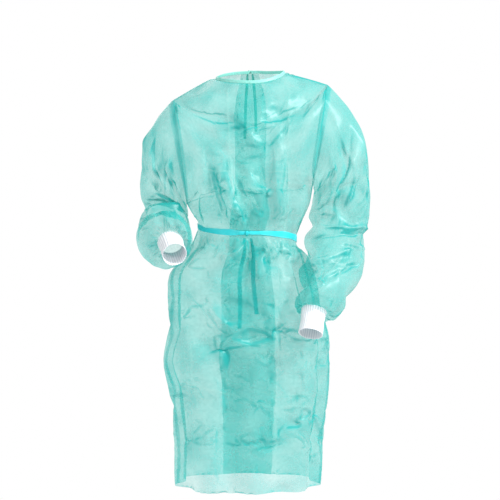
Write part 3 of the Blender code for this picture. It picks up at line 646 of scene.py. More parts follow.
SLEEVE_FOLDS = {
    "sleeve_left": [
        (110, 55, 5, 96, 25, 122, 45, 140),
        (120, -50, 8, 66, 26, 88, 42, 96),
        (120, 50, 8, 40, 30, 32, 50, 28),
        (100, 55, 49, 10, 52, 80, 49, 150),
        (90, -50, 54, 30, 56, 90, 58, 160),
        (100, 50, 62, 30, 70, 90, 78, 150),
        (100, -45, 70, 20, 80, 70, 90, 120),
        (110, 50, 10, 250, 30, 262, 48, 250),
        (100, -45, 56, 300, 66, 270, 76, 240),
        (60, -34, 10, 40, 20, 75, 34, 100),
        (60, 32, 14, 20, 26, 55, 42, 80),
        (50, 30, 46, 300, 50, 20, 54, 90),
        (45, -30, 50, 330, 54.5, 40, 58, 110),
        (50, 28, 56, 300, 60, 30, 62, 100),
        (50, -28, 60, 150, 66, 210, 68, 280),
        (45, 28, 66, 160, 70, 220, 74, 290),
        (45, -26, 72, 20, 76, 90, 78, 150),
        (42, 26, 78, 180, 82, 240, 84, 320),
        (42, 34, 4, 62, 16, 70, 30, 66, 44, 84),
        (36, 26, 10, 112, 24, 104, 36, 124),
        (36, -26, 18, 18, 32, 34, 48, 30, 56, 44),
        (34, 26, 40, 6, 52, 24, 68, 20, 80, 34),
        (34, 28, 56, 66, 68, 58, 84, 70),
        (32, -24, 60, 96, 70, 118, 80, 104, 92, 116),
        (30, 26, 74, 140, 79, 118, 84, 150),
        (30, 24, 84, 120, 88, 96, 93, 124),
        (42, 28, 10, 210, 26, 222, 44, 214),
        (38, -26, 24, 258, 40, 270, 56, 262),
    ],
    "sleeve_right": [
        (110, 55, 5, 84, 22, 106, 38, 124),
        (120, -50, 8, 56, 24, 72, 38, 78),
        (120, 50, 6, 28, 24, 22, 40, 30),
        (100, 50, 42, 0, 46, 70, 44, 140),
        (90, -50, 50, 20, 52, 90, 50, 150),
        (100, 50, 56, 150, 62, 90, 70, 30),
        (100, -45, 66, 160, 74, 110, 84, 60),
        (110, 50, 10, 246, 26, 262, 42, 254),
        (100, -45, 50, 300, 62, 280, 74, 250),
        (60, -34, 8, 30, 20, 60, 32, 95),
        (60, 32, 12, 10, 24, 40, 38, 70),
        (50, 30, 42, 60, 47, 110, 52, 160),
        (45, -30, 46, 40, 51, 100, 56, 150),
        (50, 28, 52, 30, 57, 80, 61, 140),
        (50, -28, 58, 200, 62, 260, 66, 320),
        (45, 26, 66, 190, 70, 250, 74, 310),
        (45, -26, 74, 10, 78, 70, 80, 130),
        (42, 26, 80, 160, 84, 230, 86, 300),
        (42, 34, 4, 96, 16, 88, 30, 100, 42, 92),
        (36, 26, 10, 36, 24, 46, 38, 32),
        (36, -26, 22, 122, 34, 136, 48, 128),
        (34, 30, 44, 20, 52, 52, 60, 48, 66, 76),
        (32, 26, 48, 130, 56, 112, 62, 126),
        (32, -28, 60, 10, 68, 36, 76, 28),
        (30, 28, 64, 92, 70, 118, 78, 106, 86, 122),
        (30, 24, 80, 60, 86, 34, 92, 52),
        (42, 28, 12, 230, 26, 216, 42, 228),
        (36, -26, 30, 286, 44, 272, 58, 284),
    ],
}
SLEEVE_CREASES = {
    "sleeve_left": [
        (32, 12, 2, 300, 50, 296, 95, 292),
        (32, -12, 30, 0, 31, 90, 30, 180, 31, 270, 30, 359),
    ],
    "sleeve_right": [
        (32, 12, 2, 60, 50, 64, 95, 70),
        (32, -12, 32, 0, 33, 90, 32, 180, 33, 270, 32, 359),
    ],
}
# Of a fold and of a sharp crease: the share of its length over which an end fades, how uneven its height is, and
# in lumps of what share of its length
FOLD_RUN, SHARP_RUN = (0.22, 0.35, 0.23), (0.05, 0.6, 0.11)
# How much higher than its row says a fold stands, how square its top is, and how broad a sharp crease's whitening
# is
FOLD_GAIN, FOLD_POWER, WHITENED = 1.3, 1.5, 0.0022


def noise(u, v, cell, seed):
    """Smooth unevenness between -1 and 1 with lumps of one cell."""
    size = 64
    table = np.random.default_rng(seed).uniform(-1, 1, (size, size))
    x, y = u / cell, v / cell
    i, j = np.floor(x).astype(int), np.floor(y).astype(int)
    f, g = smooth_step(x - i), smooth_step(y - j)
    upper = table[i % size, j % size] * (1 - f) + table[(i + 1) % size, j % size] * f
    lower = table[i % size, (j + 1) % size] * (1 - f) + table[(i + 1) % size, (j + 1) % size] * f
    return upper * (1 - g) + lower * g


def ripple(along, spacing, seed):
    """An uneven wave along a seam or a gathered edge."""
    stray, lump = 0.55, 2.3 * spacing
    return np.sin(2 * math.pi * (along / spacing + stray * noise(along, along * 0, lump, seed)))


def smooth_path(points):
    """A curve through a crease's points, as many short stretches."""
    at, per_point = travelled(points), 6
    return smooth_read(points, at, np.linspace(0, at[-1], per_point * len(points)))


def near_path(x, z, path):
    """Each point's distance from a path, and how far along it the nearest place is, from 0 to 1."""
    best, along = np.full(x.shape, math.inf), np.zeros(x.shape)
    for k, (start, end) in enumerate(zip(path, path[1:])):
        step = end - start
        f = np.clip(((x - start[0]) * step[0] + (z - start[1]) * step[1]) / step.dot(step), 0, 1)
        away = np.hypot(x - start[0] - f * step[0], z - start[1] - f * step[1])
        closer = away < best
        best = np.where(closer, away, best)
        along = np.where(closer, (k + f) / (len(path) - 1), along)
    return best, along


def crease_heights(x, z, folds, sharps, place, seed):
    """How far the listed creases move the cloth out, and how near each point is to a sharp one. place turns the
    points of a row to metres on the cloth."""
    height, sharp = np.zeros(x.shape), np.zeros(x.shape)
    for n, (width, rise, *points) in enumerate(folds + sharps):
        width, rise = width / 10000, rise / 10000
        soft = n < len(folds)
        end, uneven, lump = FOLD_RUN if soft else SHARP_RUN
        near, along = near_path(x, z, smooth_path(place(np.reshape(points, (-1, 2)))))
        ends = smooth_step(along, 0, end) * smooth_step(1 - along, 0, end)
        if soft:
            level = 1 + uneven * noise(along, along + n, lump, seed + n)
            height += FOLD_GAIN * rise * ends * level * np.exp(-((near / width) ** FOLD_POWER))
        else:
            level = 1 + uneven * noise(along + 1, along * 2 + n, lump, seed + n)
            height += rise * ends * level * np.exp(-near / width)
            sharp = np.maximum(sharp, ends * np.exp(-((near / WHITENED) ** 2)))
    return height, sharp


def crumple_heights(u, v, seed):
    """Uneven small crumples: rounded patches between short, sharp ridges."""
    bend, bend_cell, patch_cell, large_cell, small_cell = 0.008, 0.031, 0.075, 0.034, 0.017
    calm, large_share, small_share = 0.35, 1.6, 0.7
    bent_u, bent_v = (w + bend * noise(u, v, bend_cell, seed + n) for n, w in enumerate((u, v)))
    patches = calm + (1 - calm) * smooth_step(0.5 + 0.9 * noise(u, v, patch_cell, seed + 2))
    large = 1 - 2 * np.abs(noise(bent_u, bent_v, large_cell, seed + 3))
    small = 1 - 2 * np.abs(noise(bent_u, bent_v, small_cell, seed + 4))
    return patches * (large * large_share + small * small_share)


def seam_distance(panel, grid):
    """Each point's distance from the nearest seam of its panel."""
    if panel.closed:
        return distances(grid, 0)[:, None] + np.zeros(grid.shape[1])
    steps = np.linalg.norm(np.diff(grid, axis=1), axis=2)
    from_right = np.concatenate([np.zeros((len(grid), 1)), np.cumsum(steps, axis=1)], axis=1)
    from_left = from_right[:, -1:] - from_right
    if panel.name == FRONT:
        return np.minimum(from_right, from_left)
    return from_left if panel.name == BACK_OVER else from_right


# Seam puckers, and the gathers under the belt: height, spacing and reach
PUCKER, WAIST_GATHER = (0.0007, 0.012, 0.008), (0.0024, 0.017, 0.021)
# The gathers at a cuff: height, number and reach
CUFF_GATHER = (0.0011, 36, 0.022)
# Creases wander by this much, in lumps of this size
WOBBLE, WOBBLE_CELL = 0.0035, 0.028
# The folds and seed of the front, and of the backs, and where each one's gathers and crumples start, so that they
# differ
PANEL_RELIEF = {True: (FRONT_FOLDS, 20, 0, 0, 3), False: (BACK_FOLDS, 30, 0.7, 2, 4)}
# Where each fade starts, and its width. Relief grows from nothing at a seam, beside a strip, at a cuff and at the
# neck's edge, and is half as free at the hem.
BY_SEAM, BY_STRIP, BY_CUFF, BY_NECK, BY_HEM = (0, 0.008), (0.003, 0.016), (0, 0.012), (0.002, 0.02), (0, 0.02)
# Puckers start a little way from the seam's line, and the doubled cloth of its allowance ends softly
PUCKER_START, BAND_EDGE = (0, 0.004), 0.0015
# Cloth that is turned from its form by more than the first angle starts to get painted fold shade, a deeper and
# closer tint, in degrees
FOLD_SHADE_TURN = (13, 36)


def sleeve_relief(name, u, v, order):
    """A sleeve's creases and cuff gathers, its crumples, where creases are sharp, and how free the cloth is."""
    length, girth = v[-1, 0], u[0, -1]
    seed = 50 + order
    round_u = np.minimum(u, girth - u)
    wobble = WOBBLE * noise(v + 3, round_u, WOBBLE_CELL, seed)
    heights, sharp = np.zeros(u.shape), np.zeros(u.shape)
    for turn in (-360, 0, 360):

        def place(points):
            degrees = np.unwrap(points[:, 1], period=360) + turn
            return np.stack([points[:, 0] / 100 * length, degrees * (girth / 360)], axis=1)

        tables = SLEEVE_FOLDS[name], SLEEVE_CREASES[name]
        more, near = crease_heights(v + wobble, u - wobble, *tables, place, seed)
        heights += more
        sharp = np.maximum(sharp, near)
    height, gathers, reach = CUFF_GATHER
    to_cuff = length - v
    gather = height * np.exp(-((to_cuff / reach) ** 2)) * np.sin(2 * math.pi * gathers * u / girth)
    heights += gather * smooth_step(to_cuff, *PUCKER_START)
    return heights, crumple_heights(round_u, v, 7 * order), sharp, smooth_step(to_cuff, *BY_CUFF)


def panel_relief(name, grid, v, clear, waist):
    """The same for the front or a back, with the gathers beside the strips on it. waist is the distance from them,
    and clear is 0 beneath them, where the cloth is pressed flat."""
    x, z = grid[..., 0], grid[..., 2]
    folds, seed, gather_start, crumple_start, crumple_seed = PANEL_RELIEF[name == FRONT]
    wobble = WOBBLE * noise(x + 3, z + 3, WOBBLE_CELL, seed)
    heights, sharp = crease_heights(x + wobble, z - wobble, folds, PACKET_CREASES, lambda p: p / 1000, seed)
    height, spacing, reach = WAIST_GATHER
    gather = height * ripple(x + gather_start, spacing, seed=12) * np.exp(-waist / reach)
    crumples = crumple_heights(x + crumple_start, z, crumple_seed)
    free = smooth_step(v, *BY_NECK) * (0.5 + 0.5 * smooth_step(v[-1, 0] - v, *BY_HEM))
    return (heights + gather) * clear, crumples * clear, sharp, free


def dressed(panels, counts, armhole, shifts, coarse, settings):
    """The fine grids with settling, creases, crumples, seam puckers and gathers, and their paint values."""
    grids, paint = {}, {}
    for name, panel in panels.items():
        grids[name] = panel.form(counts[name])
        if shifts:
            grids[name] = grids[name] + panel.read(shifts[name], panel.places(coarse[name]), counts[name])
    sew(grids, armhole, counts)
    strips = near_tree(strip_points())
    for order, (name, panel) in enumerate(panels.items()):
        grid = grids[name]
        normals = normals_of(grid, panel.flip, panel.closed)
        v, u = np.meshgrid(*panel.places(counts[name]), indexing="ij")
        from_seam = seam_distance(panel, grid)
        if panel.closed:
            along, clear = u, 1.0
            heights, crumples, sharp, free = sleeve_relief(name, u, v, order)
        else:
            waist = np.array([strips.find(point)[2] for point in grid.reshape(-1, 3)]).reshape(v.shape)
            along, clear = v, smooth_step(waist, *BY_STRIP)
            heights, crumples, sharp, free = panel_relief(name, grid, v, clear, waist)
        height, spacing, reach = PUCKER
        pucker = height * ripple(along, spacing, 40 + order) * np.exp(-from_seam / reach)
        pucker = pucker * smooth_step(from_seam, *PUCKER_START) * clear
        heights = (heights + settings.crumple * crumples) * free * smooth_step(from_seam, *BY_SEAM) + pucker
        grids[name] = grid + normals * heights[..., None]
        band = 1 - smooth_step(from_seam, settings.allowance, BAND_EDGE)
        paint[name] = {"seam": band, "crease": sharp, "u": u, "v": v}
    sew(grids, armhole, counts)
    # Painted shade: fold shade is full where the cloth is turned from its form, and the cloth's finish deepens and
    # closes its tint there
    for name, panel in panels.items():
        form = normals_of(panel.form(counts[name]), panel.flip)
        straight = (form * normals_of(grids[name], panel.flip)).sum(axis=2)
        turned = smooth_step(np.degrees(np.arccos(np.clip(straight, -1, 1))), *FOLD_SHADE_TURN)
        paint[name]["fold"] = smooth_step(seam_distance(panel, grids[name]), *BY_SEAM) * turned
    return grids, paint


# Pieces


def new_object(name, points, faces, material):
    mesh = bpy.data.meshes.new(name)
    mesh.from_pydata(points, [], faces)
    mesh.materials.append(material)
    made = bpy.data.objects.new(name, mesh)
    bpy.context.scene.collection.objects.link(made)
    return made


def grid_object(name, grid, closed, flip, paint, material):
    """A mesh object of a grid of points, with its UV map in metres of flat cloth and its paint values."""
    rows, columns = grid.shape[:2]
    faces = quads(rows, columns, flip)
    corner_uv = np.stack([paint[key].ravel()[faces] for key in "uv"], axis=-1)
    kept = slice(None)
    if closed:
        kept = slice(None, -1)
        number = np.arange(rows * (columns - 1)).reshape(rows, -1)
        faces = np.concatenate([number, number[:, :1]], axis=1).ravel()[faces]
    made = new_object(name, grid[:, kept].reshape(-1, 3).tolist(), faces.tolist(), material)
    mesh = made.data
    mesh.uv_layers.new(name="cut").data.foreach_set("uv", corner_uv.astype(np.float32).ravel())
    for key in paint.keys() - {"u", "v"}:
        attribute = mesh.attributes.new(key, "FLOAT", "POINT")
        attribute.data.foreach_set("value", paint[key][:, kept].astype(np.float32).ravel())
    mesh.validate()
    mesh.shade_smooth()
    return made


def put_on(piece, nodes):
    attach(piece, "root")
    if nodes:
        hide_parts(*nodes)


def close_and_turn_out(piece):
    """Joined doubles and outward faces, for a closed piece."""
    shape = bmesh.new()
    shape.from_mesh(piece.data)
    bmesh.ops.remove_doubles(shape, verts=shape.verts[:], dist=SAME_FINE_POINT)
    bmesh.ops.recalc_face_normals(shape, faces=shape.faces[:])
    shape.to_mesh(piece.data)
    shape.free()
    piece.data.shade_smooth()


# Finishes. Each function gives the surface of one, and is named for it.


def add_node(tree, kind, output=0, settings=None, **links):
    """One node with its settings and links, as its output. A link's key is the input's name, or n and its number,
    and its value is a plain one or another node's output."""
    node = tree.nodes.new(f"ShaderNode{kind}")
    for key, value in (settings or {}).items():
        setattr(node, key, value)
    for key, value in links.items():
        socket = node.inputs[int(key[1:])] if key[1:].isdigit() else node.inputs[key.replace("_", " ")]
        if isinstance(value, bpy.types.NodeSocket):
            tree.links.new(value, socket)
        else:
            socket.default_value = value
    return node.outputs[output] if node.outputs else None


ADD_UP, MIX_COLOUR = {"operation": "MULTIPLY_ADD"}, {"data_type": "RGBA"}


def fibre_surface(tree, tint, bump, roughness, sheen, passing):
    """Pressed polypropylene fibres: a soft sheen, and a share of the light that passes through."""
    front = add_node(
        tree, "BsdfPrincipled", Base_Color=tint, Roughness=roughness, IOR=1.49, Sheen_Weight=sheen,
        Sheen_Roughness=0.4, Normal=bump,
    )
    through = add_node(tree, "BsdfTranslucent", Color=tint, Normal=bump)
    return add_node(tree, "MixShader", n0=passing, n1=front, n2=through)


def spunbond_polypropylene(tree, colours):
    """Fine endless fibres laid at random and pressed. The eye sees thin and thick clouds, light through one layer,
    a deeper tint where it is doubled, painted shade as a deeper, closer tint on the flanks of folds, and whitened
    sharp creases."""
    uv = add_node(tree, "TexCoord", "UV")
    # Clouds of thick and thin fibre about 9 mm across, and streaks about 2.5 mm across, coarser than real fibres
    clouds = add_node(tree, "TexNoise", Vector=uv, Scale=110.0, Detail=3.0, Roughness=0.6)
    streaks = add_node(tree, "TexNoise", Vector=uv, Scale=400.0, Detail=2.0, Roughness=0.7, Distortion=0.6)
    both = add_node(tree, "Math", 0, ADD_UP, n0=streaks, n1=0.4, n2=0.0)
    thick = add_node(tree, "Math", 0, ADD_UP, n0=clouds, n1=0.6, n2=both)
    level = add_node(tree, "MapRange", Value=thick, From_Min=0.35, From_Max=0.65, To_Min=0.0, To_Max=0.20)
    # Broad uneven patches about 90 mm across, where more or less of the cloth lies on itself
    patch = add_node(tree, "TexNoise", Vector=uv, Scale=11.0, Detail=1.5, Roughness=0.5)
    patch = add_node(tree, "MapRange", Value=patch, From_Min=0.40, From_Max=0.64, To_Min=0.0, To_Max=0.30)
    level = add_node(tree, "Math", 0, {"operation": "ADD"}, n0=level, n1=patch)
    # Painted shade: the cloth is painted dense, deeper and more closed, on the flanks of folds. It is dense where
    # a seam doubles it
    fold = add_node(tree, "Attribute", "Fac", {"attribute_name": "fold"})
    seam = add_node(tree, "Attribute", "Fac", {"attribute_name": "seam"})
    level = add_node(tree, "Math", 0, ADD_UP, n0=fold, n1=0.85, n2=level)
    dense = add_node(tree, "Math", 0, {**ADD_UP, "use_clamp": True}, n0=seam, n1=0.5, n2=level)
    tint = add_node(tree, "Mix", 2, MIX_COLOUR, n0=dense, n6=(*colours.cloth, 1), n7=(*colours.dense, 1))
    crease = add_node(tree, "Attribute", "Fac", {"attribute_name": "crease"})
    worn = add_node(tree, "Math", 0, {"operation": "MULTIPLY"}, n0=crease, n1=0.30)
    tint = add_node(tree, "Mix", 2, MIX_COLOUR, n0=worn, n6=tint, n7=linear("#a9e6da"))
    cover = add_node(
        tree, "MapRange", Value=dense, From_Min=0.0, From_Max=1.0, To_Min=1 - colours.clearness, To_Max=0.9
    )
    # Pressed fibres raise a fine grain, drawn about 3 mm across so that it shows
    bump = add_node(tree, "Bump", Strength=0.18, Distance=0.0004, Height=thick)
    fibres = fibre_surface(tree, tint, bump, 0.35, 0.1, 0.38)
    clear = add_node(tree, "BsdfTransparent", Color=(0.90, 1.0, 0.985, 1))
    return add_node(tree, "MixShader", n0=cover, n1=clear, n2=fibres)


def spunbond_folded_once(tree, colours):
    """The same cloth folded once round the neck's edge: two layers, so it is pale and lets light through."""
    return folded_cloth(tree, colours.binding, 0.55, 0.4)


def spunbond_folded_twice(tree, colours):
    """The same cloth folded into the belt: four layers give a bright, nearly closed tint."""
    return folded_cloth(tree, colours.belt, 0.3, 0.3)


def folded_cloth(tree, colour, dense, passing):
    """A strip's cloth. dense is the share of thicker, darker fibre in its tint, in clouds about 4 mm across."""
    uv = add_node(tree, "TexCoord", "UV")
    darker = (*(c * 0.62 for c in colour), 1)
    fibre = add_node(tree, "TexNoise", Vector=uv, Scale=260.0, Detail=3.0, Roughness=0.65)
    thick = add_node(tree, "Math", 0, {"operation": "MULTIPLY"}, n0=fibre, n1=dense)
    tint = add_node(tree, "Mix", 2, MIX_COLOUR, n0=thick, n6=(*colour, 1), n7=darker)
    bump = add_node(tree, "Bump", Strength=0.3, Distance=0.0004, Height=fibre)
    return fibre_surface(tree, tint, bump, 0.44, 0.15, passing)


def polyester_rib_knit(tree, colours):
    """White rib knit: rows of small loops on soft ribs, matt, with painted shade between the ribs."""
    uv = add_node(tree, "TexCoord", "UV")
    # Knitted courses 1.6 mm apart, drawn a little coarser than the real 1.1 mm so that they show
    course = 0.0016
    loops = add_node(
        tree, "TexWave", "Fac", {"wave_type": "BANDS", "bands_direction": "Y"}, Vector=uv,
        Scale=1 / (math.pi * course), Distortion=1.4, Detail=2.0, Detail_Scale=2.0,
    )
    rib = add_node(tree, "Attribute", "Fac", {"attribute_name": "rib"})
    # Painted shade: grey in the troughs between the ribs, white on their crests
    shade = add_node(tree, "Mix", 2, MIX_COLOUR, n0=rib, n6=linear("#c9ced6"), n7=(*colours.knit, 1))
    bump = add_node(tree, "Bump", Strength=0.5, Distance=0.0004, Height=loops)
    return add_node(
        tree, "BsdfPrincipled", Base_Color=shade, Roughness=0.85, Sheen_Weight=0.25, Sheen_Roughness=0.5,
        Normal=bump,
    )


def polyester_thread(tree, colours):
    """Spun sewing thread, a twisted strand with a slight gloss."""
    place = add_node(tree, "TexCoord", "Object")
    twist = add_node(tree, "TexNoise", Vector=place, Scale=1800.0, Detail=2.0)
    tint = add_node(tree, "Mix", 2, MIX_COLOUR, n0=twist, n6=linear("#bfe9e0"), n7=linear("#7fcabf"))
    return add_node(tree, "BsdfPrincipled", Base_Color=tint, Roughness=0.5)


def studio_paper(tree, colours):
    """Matt studio paper, with a faint unevenness."""
    place = add_node(tree, "TexCoord", "Object")
    cloud = add_node(tree, "TexNoise", Vector=place, Scale=3.0, Detail=2.0)
    tint = add_node(tree, "Mix", 2, MIX_COLOUR, n0=cloud, n6=(*colours.floor, 1), n7=linear("#eceef0"))
    return add_node(tree, "BsdfPrincipled", Base_Color=tint, Roughness=0.9)


def finish(surface):
    """The material of a surface, made once."""
    name = surface.__name__.replace("_", " ")
    material = bpy.data.materials.get(name)
    if material is None:
        material = bpy.data.materials.new(name)
        material.use_nodes = True
        material.node_tree.nodes.clear()
        shader = surface(material.node_tree, bpy.context.scene.gown_colours)
        add_node(material.node_tree, "OutputMaterial", Surface=shader)
    return material


# Strips, knots and stitches

# A strip's rings stand this far apart. Its section's fold is open by this angle, with sides and faces so full.
STRIP_STEP, FOLD_OPENING, SIDE_POWER, FACE_POWER = 0.0022, 0.12, 0.75, 0.6
# Two kinds of crinkle across a strip, each with its depth and spacing
CRINKLE, CRINKLE_WAVE = (0.00022, 0.006), (0.0002, 0.011)
# The groove that the stitches press: depth, place across the strip and width, as shares of half the strip
GROOVE = (0.00022, 0.72, 0.08)
STRIP_SIDES, KNOT_STEPS, KNOT_SIDES = 20, 96, 16
# How deep the binding round the neck is, and a strip that lies or hangs flat
BOUND_DEPTH, FOLDED_DEPTH = 0.0018, 0.0012
# A stitch is a lens: the share of its length, and how thick it is there. It is a little flat, and half sunk.
STITCH_LENS = [(0.0, 0.25), (0.22, 0.85), (0.5, 1.0), (0.78, 0.85), (1.0, 0.25)]
STITCH_SIDES, STITCH_FLATNESS, STITCH_RISE = 6, 0.8, 0.35


def from_top(point):
    return -point[2]


def from_right_front(point):
    return (point[1] < 0, point[0])


def from_middle_front(point):
    return (point[1] > 0, abs(point[0]))


def flattened(wave, power):
    """A wave between -1 and 1 with fuller crests."""
    return np.sign(wave) * np.abs(wave) ** power


def strip_grid(node, start_key, rim_edge=STRIP_RIM_EDGE):
    """The rows of a strip's outer face, from the end that comes first by start_key, and its outward normals."""
    rows = strip_rows(outer_face(node, from_axis, rim_edge), start_key)
    centre = rows[:, rows.shape[1] // 2]
    normals = unit(np.cross(np.gradient(centre, axis=0), rows[:, -1] - rows[:, 0]))
    if (normals * centre * [1, 1, 0]).sum() < 0:
        return rows[:, ::-1], -normals
    return rows, normals


def folded_strip(name, rows, normals, thickness, material, seed):
    """A strip of cloth folded in two, open along one edge, on the outer face given by rows. Returns it with the
    length and the width that it shows."""
    at = distances(rows, 0)
    new = np.linspace(0, at[-1], max(4, round(at[-1] / STRIP_STEP)))
    rows, normals = smooth_read(rows, at, new), unit(smooth_read(normals, at, new))
    half = (rows[:, -1] - rows[:, 0]) / 2
    half_width = float(np.linalg.norm(half, axis=1).mean())
    centre = (rows[:, 0] + rows[:, -1]) / 4 + rows[:, rows.shape[1] // 2] / 2 - normals * thickness / 2
    angles = np.linspace(FOLD_OPENING, 2 * math.pi - FOLD_OPENING, STRIP_SIDES)
    across, deep = flattened(np.cos(angles), SIDE_POWER), flattened(np.sin(angles), FACE_POWER)
    u, v = np.meshgrid(angles / (2 * math.pi) * 4 * half_width, new)
    crinkle = CRINKLE[0] * noise(u * 2 + 5, v, CRINKLE[1], seed)
    crinkle = crinkle + CRINKLE_WAVE[0] * ripple(v + u, CRINKLE_WAVE[1], seed + 1)
    depth, place, width = GROOVE
    groove = -depth * np.exp(-(((across + place) / width) ** 2)) * (deep > 0)
    inset, narrower = 0.0001, 0.98
    lift = deep * (thickness / 2 - inset) + np.minimum(crinkle, 0) + groove
    grid = centre[:, None] + half[:, None] * across[:, None] * narrower + normals[:, None] * lift[..., None]
    tips = [np.broadcast_to(centre[k], grid[:1].shape) for k in (0, -1)]
    grid = np.concatenate([tips[0], grid, tips[1]])
    paint = {key: np.concatenate([w[:1], w, w[-1:]]) for key, w in (("u", u), ("v", v))}
    made = grid_object(name, grid, False, False, paint, material)
    close_and_turn_out(made)
    return made, at[-1], 2 * half_width


def tied_knot(node, width, thickness, material, seed):
    """A strip tied in an overhand knot, within the box of its node."""
    centre, size = box_of(node)
    t = np.linspace(0, 2 * math.pi, KNOT_STEPS + 1)[:-1]
    trefoil = [np.sin(t) + 2 * np.sin(2 * t), -np.sin(3 * t) * 1.2, np.cos(t) - 2 * np.cos(2 * t)]
    path = np.stack(trefoil, axis=1)
    path /= np.abs(path).max(axis=0)
    margin = np.array([width * 0.42, thickness * 0.8, width * 0.42])
    path = path * (size - margin)
    along = unit(np.roll(path, -1, axis=0) - np.roll(path, 1, axis=0))
    side = unit(np.cross(along, [0, 1.0, 0]))
    face = np.cross(side, along)
    twist = 0.55
    turn = twist * np.sin(2 * t + seed)[:, None]
    across = side * np.cos(turn) + face * np.sin(turn)
    normal = face * np.cos(turn) - side * np.sin(turn)
    angles = 2 * math.pi * np.arange(KNOT_SIDES + 1) / KNOT_SIDES
    wide = flattened(np.cos(angles), 0.8)[:, None] * width / 2
    deep = np.sin(angles)[:, None] * thickness / 2
    grid = centre + path[:, None] + across[:, None] * wide + normal[:, None] * deep
    grid = np.concatenate([grid, grid[:1]])
    tied_length = 0.1
    v, u = np.meshgrid(np.linspace(0, tied_length, len(grid)), angles * width / 3, indexing="ij")
    made = grid_object(f"{node}_tied", grid, True, False, {"u": u, "v": v}, material)
    close_and_turn_out(made)
    put_on(made, [node])
    return made


def stitch_run(points, normals, length, gap, radius):
    """Small lens-shaped stitches along a line, as points and faces for one mesh."""
    at = travelled(points)
    verts, faces = [], []
    angles = 2 * math.pi * np.arange(STITCH_SIDES) / STITCH_SIDES
    shares = np.array([share for share, _ in STITCH_LENS])
    for start in np.arange(gap, at[-1] - length, length + gap):
        spots = smooth_read(points, at, start + shares * length)
        up = smooth_read(normals, at, np.full(len(shares), start + length / 2))
        side = unit(np.cross(unit(spots[-1] - spots[0]), up[0]))
        base = len(verts)
        for spot, lift, (_, thick) in zip(spots, up, STITCH_LENS):
            for angle in angles:
                ring = side * math.cos(angle) + lift * math.sin(angle) * STITCH_FLATNESS
                verts.append(spot + lift * radius * STITCH_RISE + ring * radius * thick)
        rings = np.arange(base, len(verts)).reshape(-1, STITCH_SIDES)
        for near, far in zip(rings, rings[1:]):
            faces += np.stack([near, far, np.roll(far, -1), np.roll(near, -1)], axis=1).tolist()
        faces += [rings[0].tolist(), rings[-1][::-1].tolist()]
    return verts, faces


def stitch_line(rows, normals, across, lift):
    """The line of stitches on a strip, at a share of the way across it and lifted off it."""
    return rows[:, 0] * (1 - across) + rows[:, -1] * across + normals * lift


def make_stitches(name, runs):
    """The stitches of one or more runs, as one piece. A run is its line and normals, then a stitch's length, the
    gap between two and their radius."""
    verts, faces = [], []
    for run in runs:
        more, other = stitch_run(*run)
        faces += [[i + len(verts) for i in face] for face in other]
        verts += more
    made = new_object(name, np.array(verts).tolist(), faces, finish(polyester_thread))
    close_and_turn_out(made)
    put_on(made, [])


def make_strip(node, rows, normals, thickness, material, seed):
    piece, length, width = folded_strip(f"{node}_strip", rows, normals, thickness, material, seed)
    put_on(piece, [node])
    return piece, length, width


def hang_ends(nodes, material, seed):
    """The two hanging ends of a knot."""
    for order, node in enumerate(nodes):
        rows, normals = strip_grid(node, from_top)
        piece, length, width = make_strip(node, rows, normals, FOLDED_DEPTH, material, seed + order)


# Cuffs

# Rings of each layer, columns of each rib, and steps round the turned edge
KNIT_ROWS, RIB_STEPS, TURN_STEPS = 34, 8, 7
# The ribs outside and inside, how square they are, how far in their troughs lie, and the inner layer's depth
RIB_HEIGHT, INNER_RIB_HEIGHT, RIB_POWER, TROUGH, LAYER_DEPTH = 0.0006, 0.0001, 0.7, 0.0002, 0.0017
# The knit's unevenness with its lumps' size, and the turned edge's depth and half its width
KNIT_SLACK, KNIT_LUMP, TURN_DEPTH, TURN_WIDTH = 0.0007, 0.016, 0.0007, 0.0009


def sleeve_mouth(node):
    """The middle of the sleeve's end that a cuff is sewn to."""
    last_node = SLEEVE_NODES[f"sleeve_{node[5:]}"][-1]
    points = points_of(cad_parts[last_node].data.vertices)
    near, nearest = np.linalg.norm(points - box_of(node)[0], axis=1), 40
    return points[np.argsort(near)[:nearest]].mean(axis=0)


def cuff_grid(node):
    """A cuff's outer face between its ribs, ring by ring from the sleeve, with its rows' and columns' places."""
    rings = tube_rows(outer_face(node, from_middle(node), KNIT_RIM_EDGE))
    far = [np.linalg.norm(rings[end].mean(axis=0) - sleeve_mouth(node)) for end in (0, -1)]
    if far[0] > far[1]:
        rings = rings[::-1]
    middle = rings.mean(axis=1, keepdims=True)
    halves = rings[:, ::2], rings[:, 1::2]
    low = min(halves, key=lambda half: np.linalg.norm(half - middle, axis=2).mean())
    low = np.concatenate([low, low[:, :1]], axis=1)
    row_at, column_at = distances(low, 0), distances(low, 1)
    rows = np.linspace(0, row_at[-1], KNIT_ROWS)
    columns = divided(column_at, [RIB_STEPS] * (low.shape[1] - 1))
    return read_columns(smooth_read(low, row_at, rows), column_at, columns, True), rows, columns


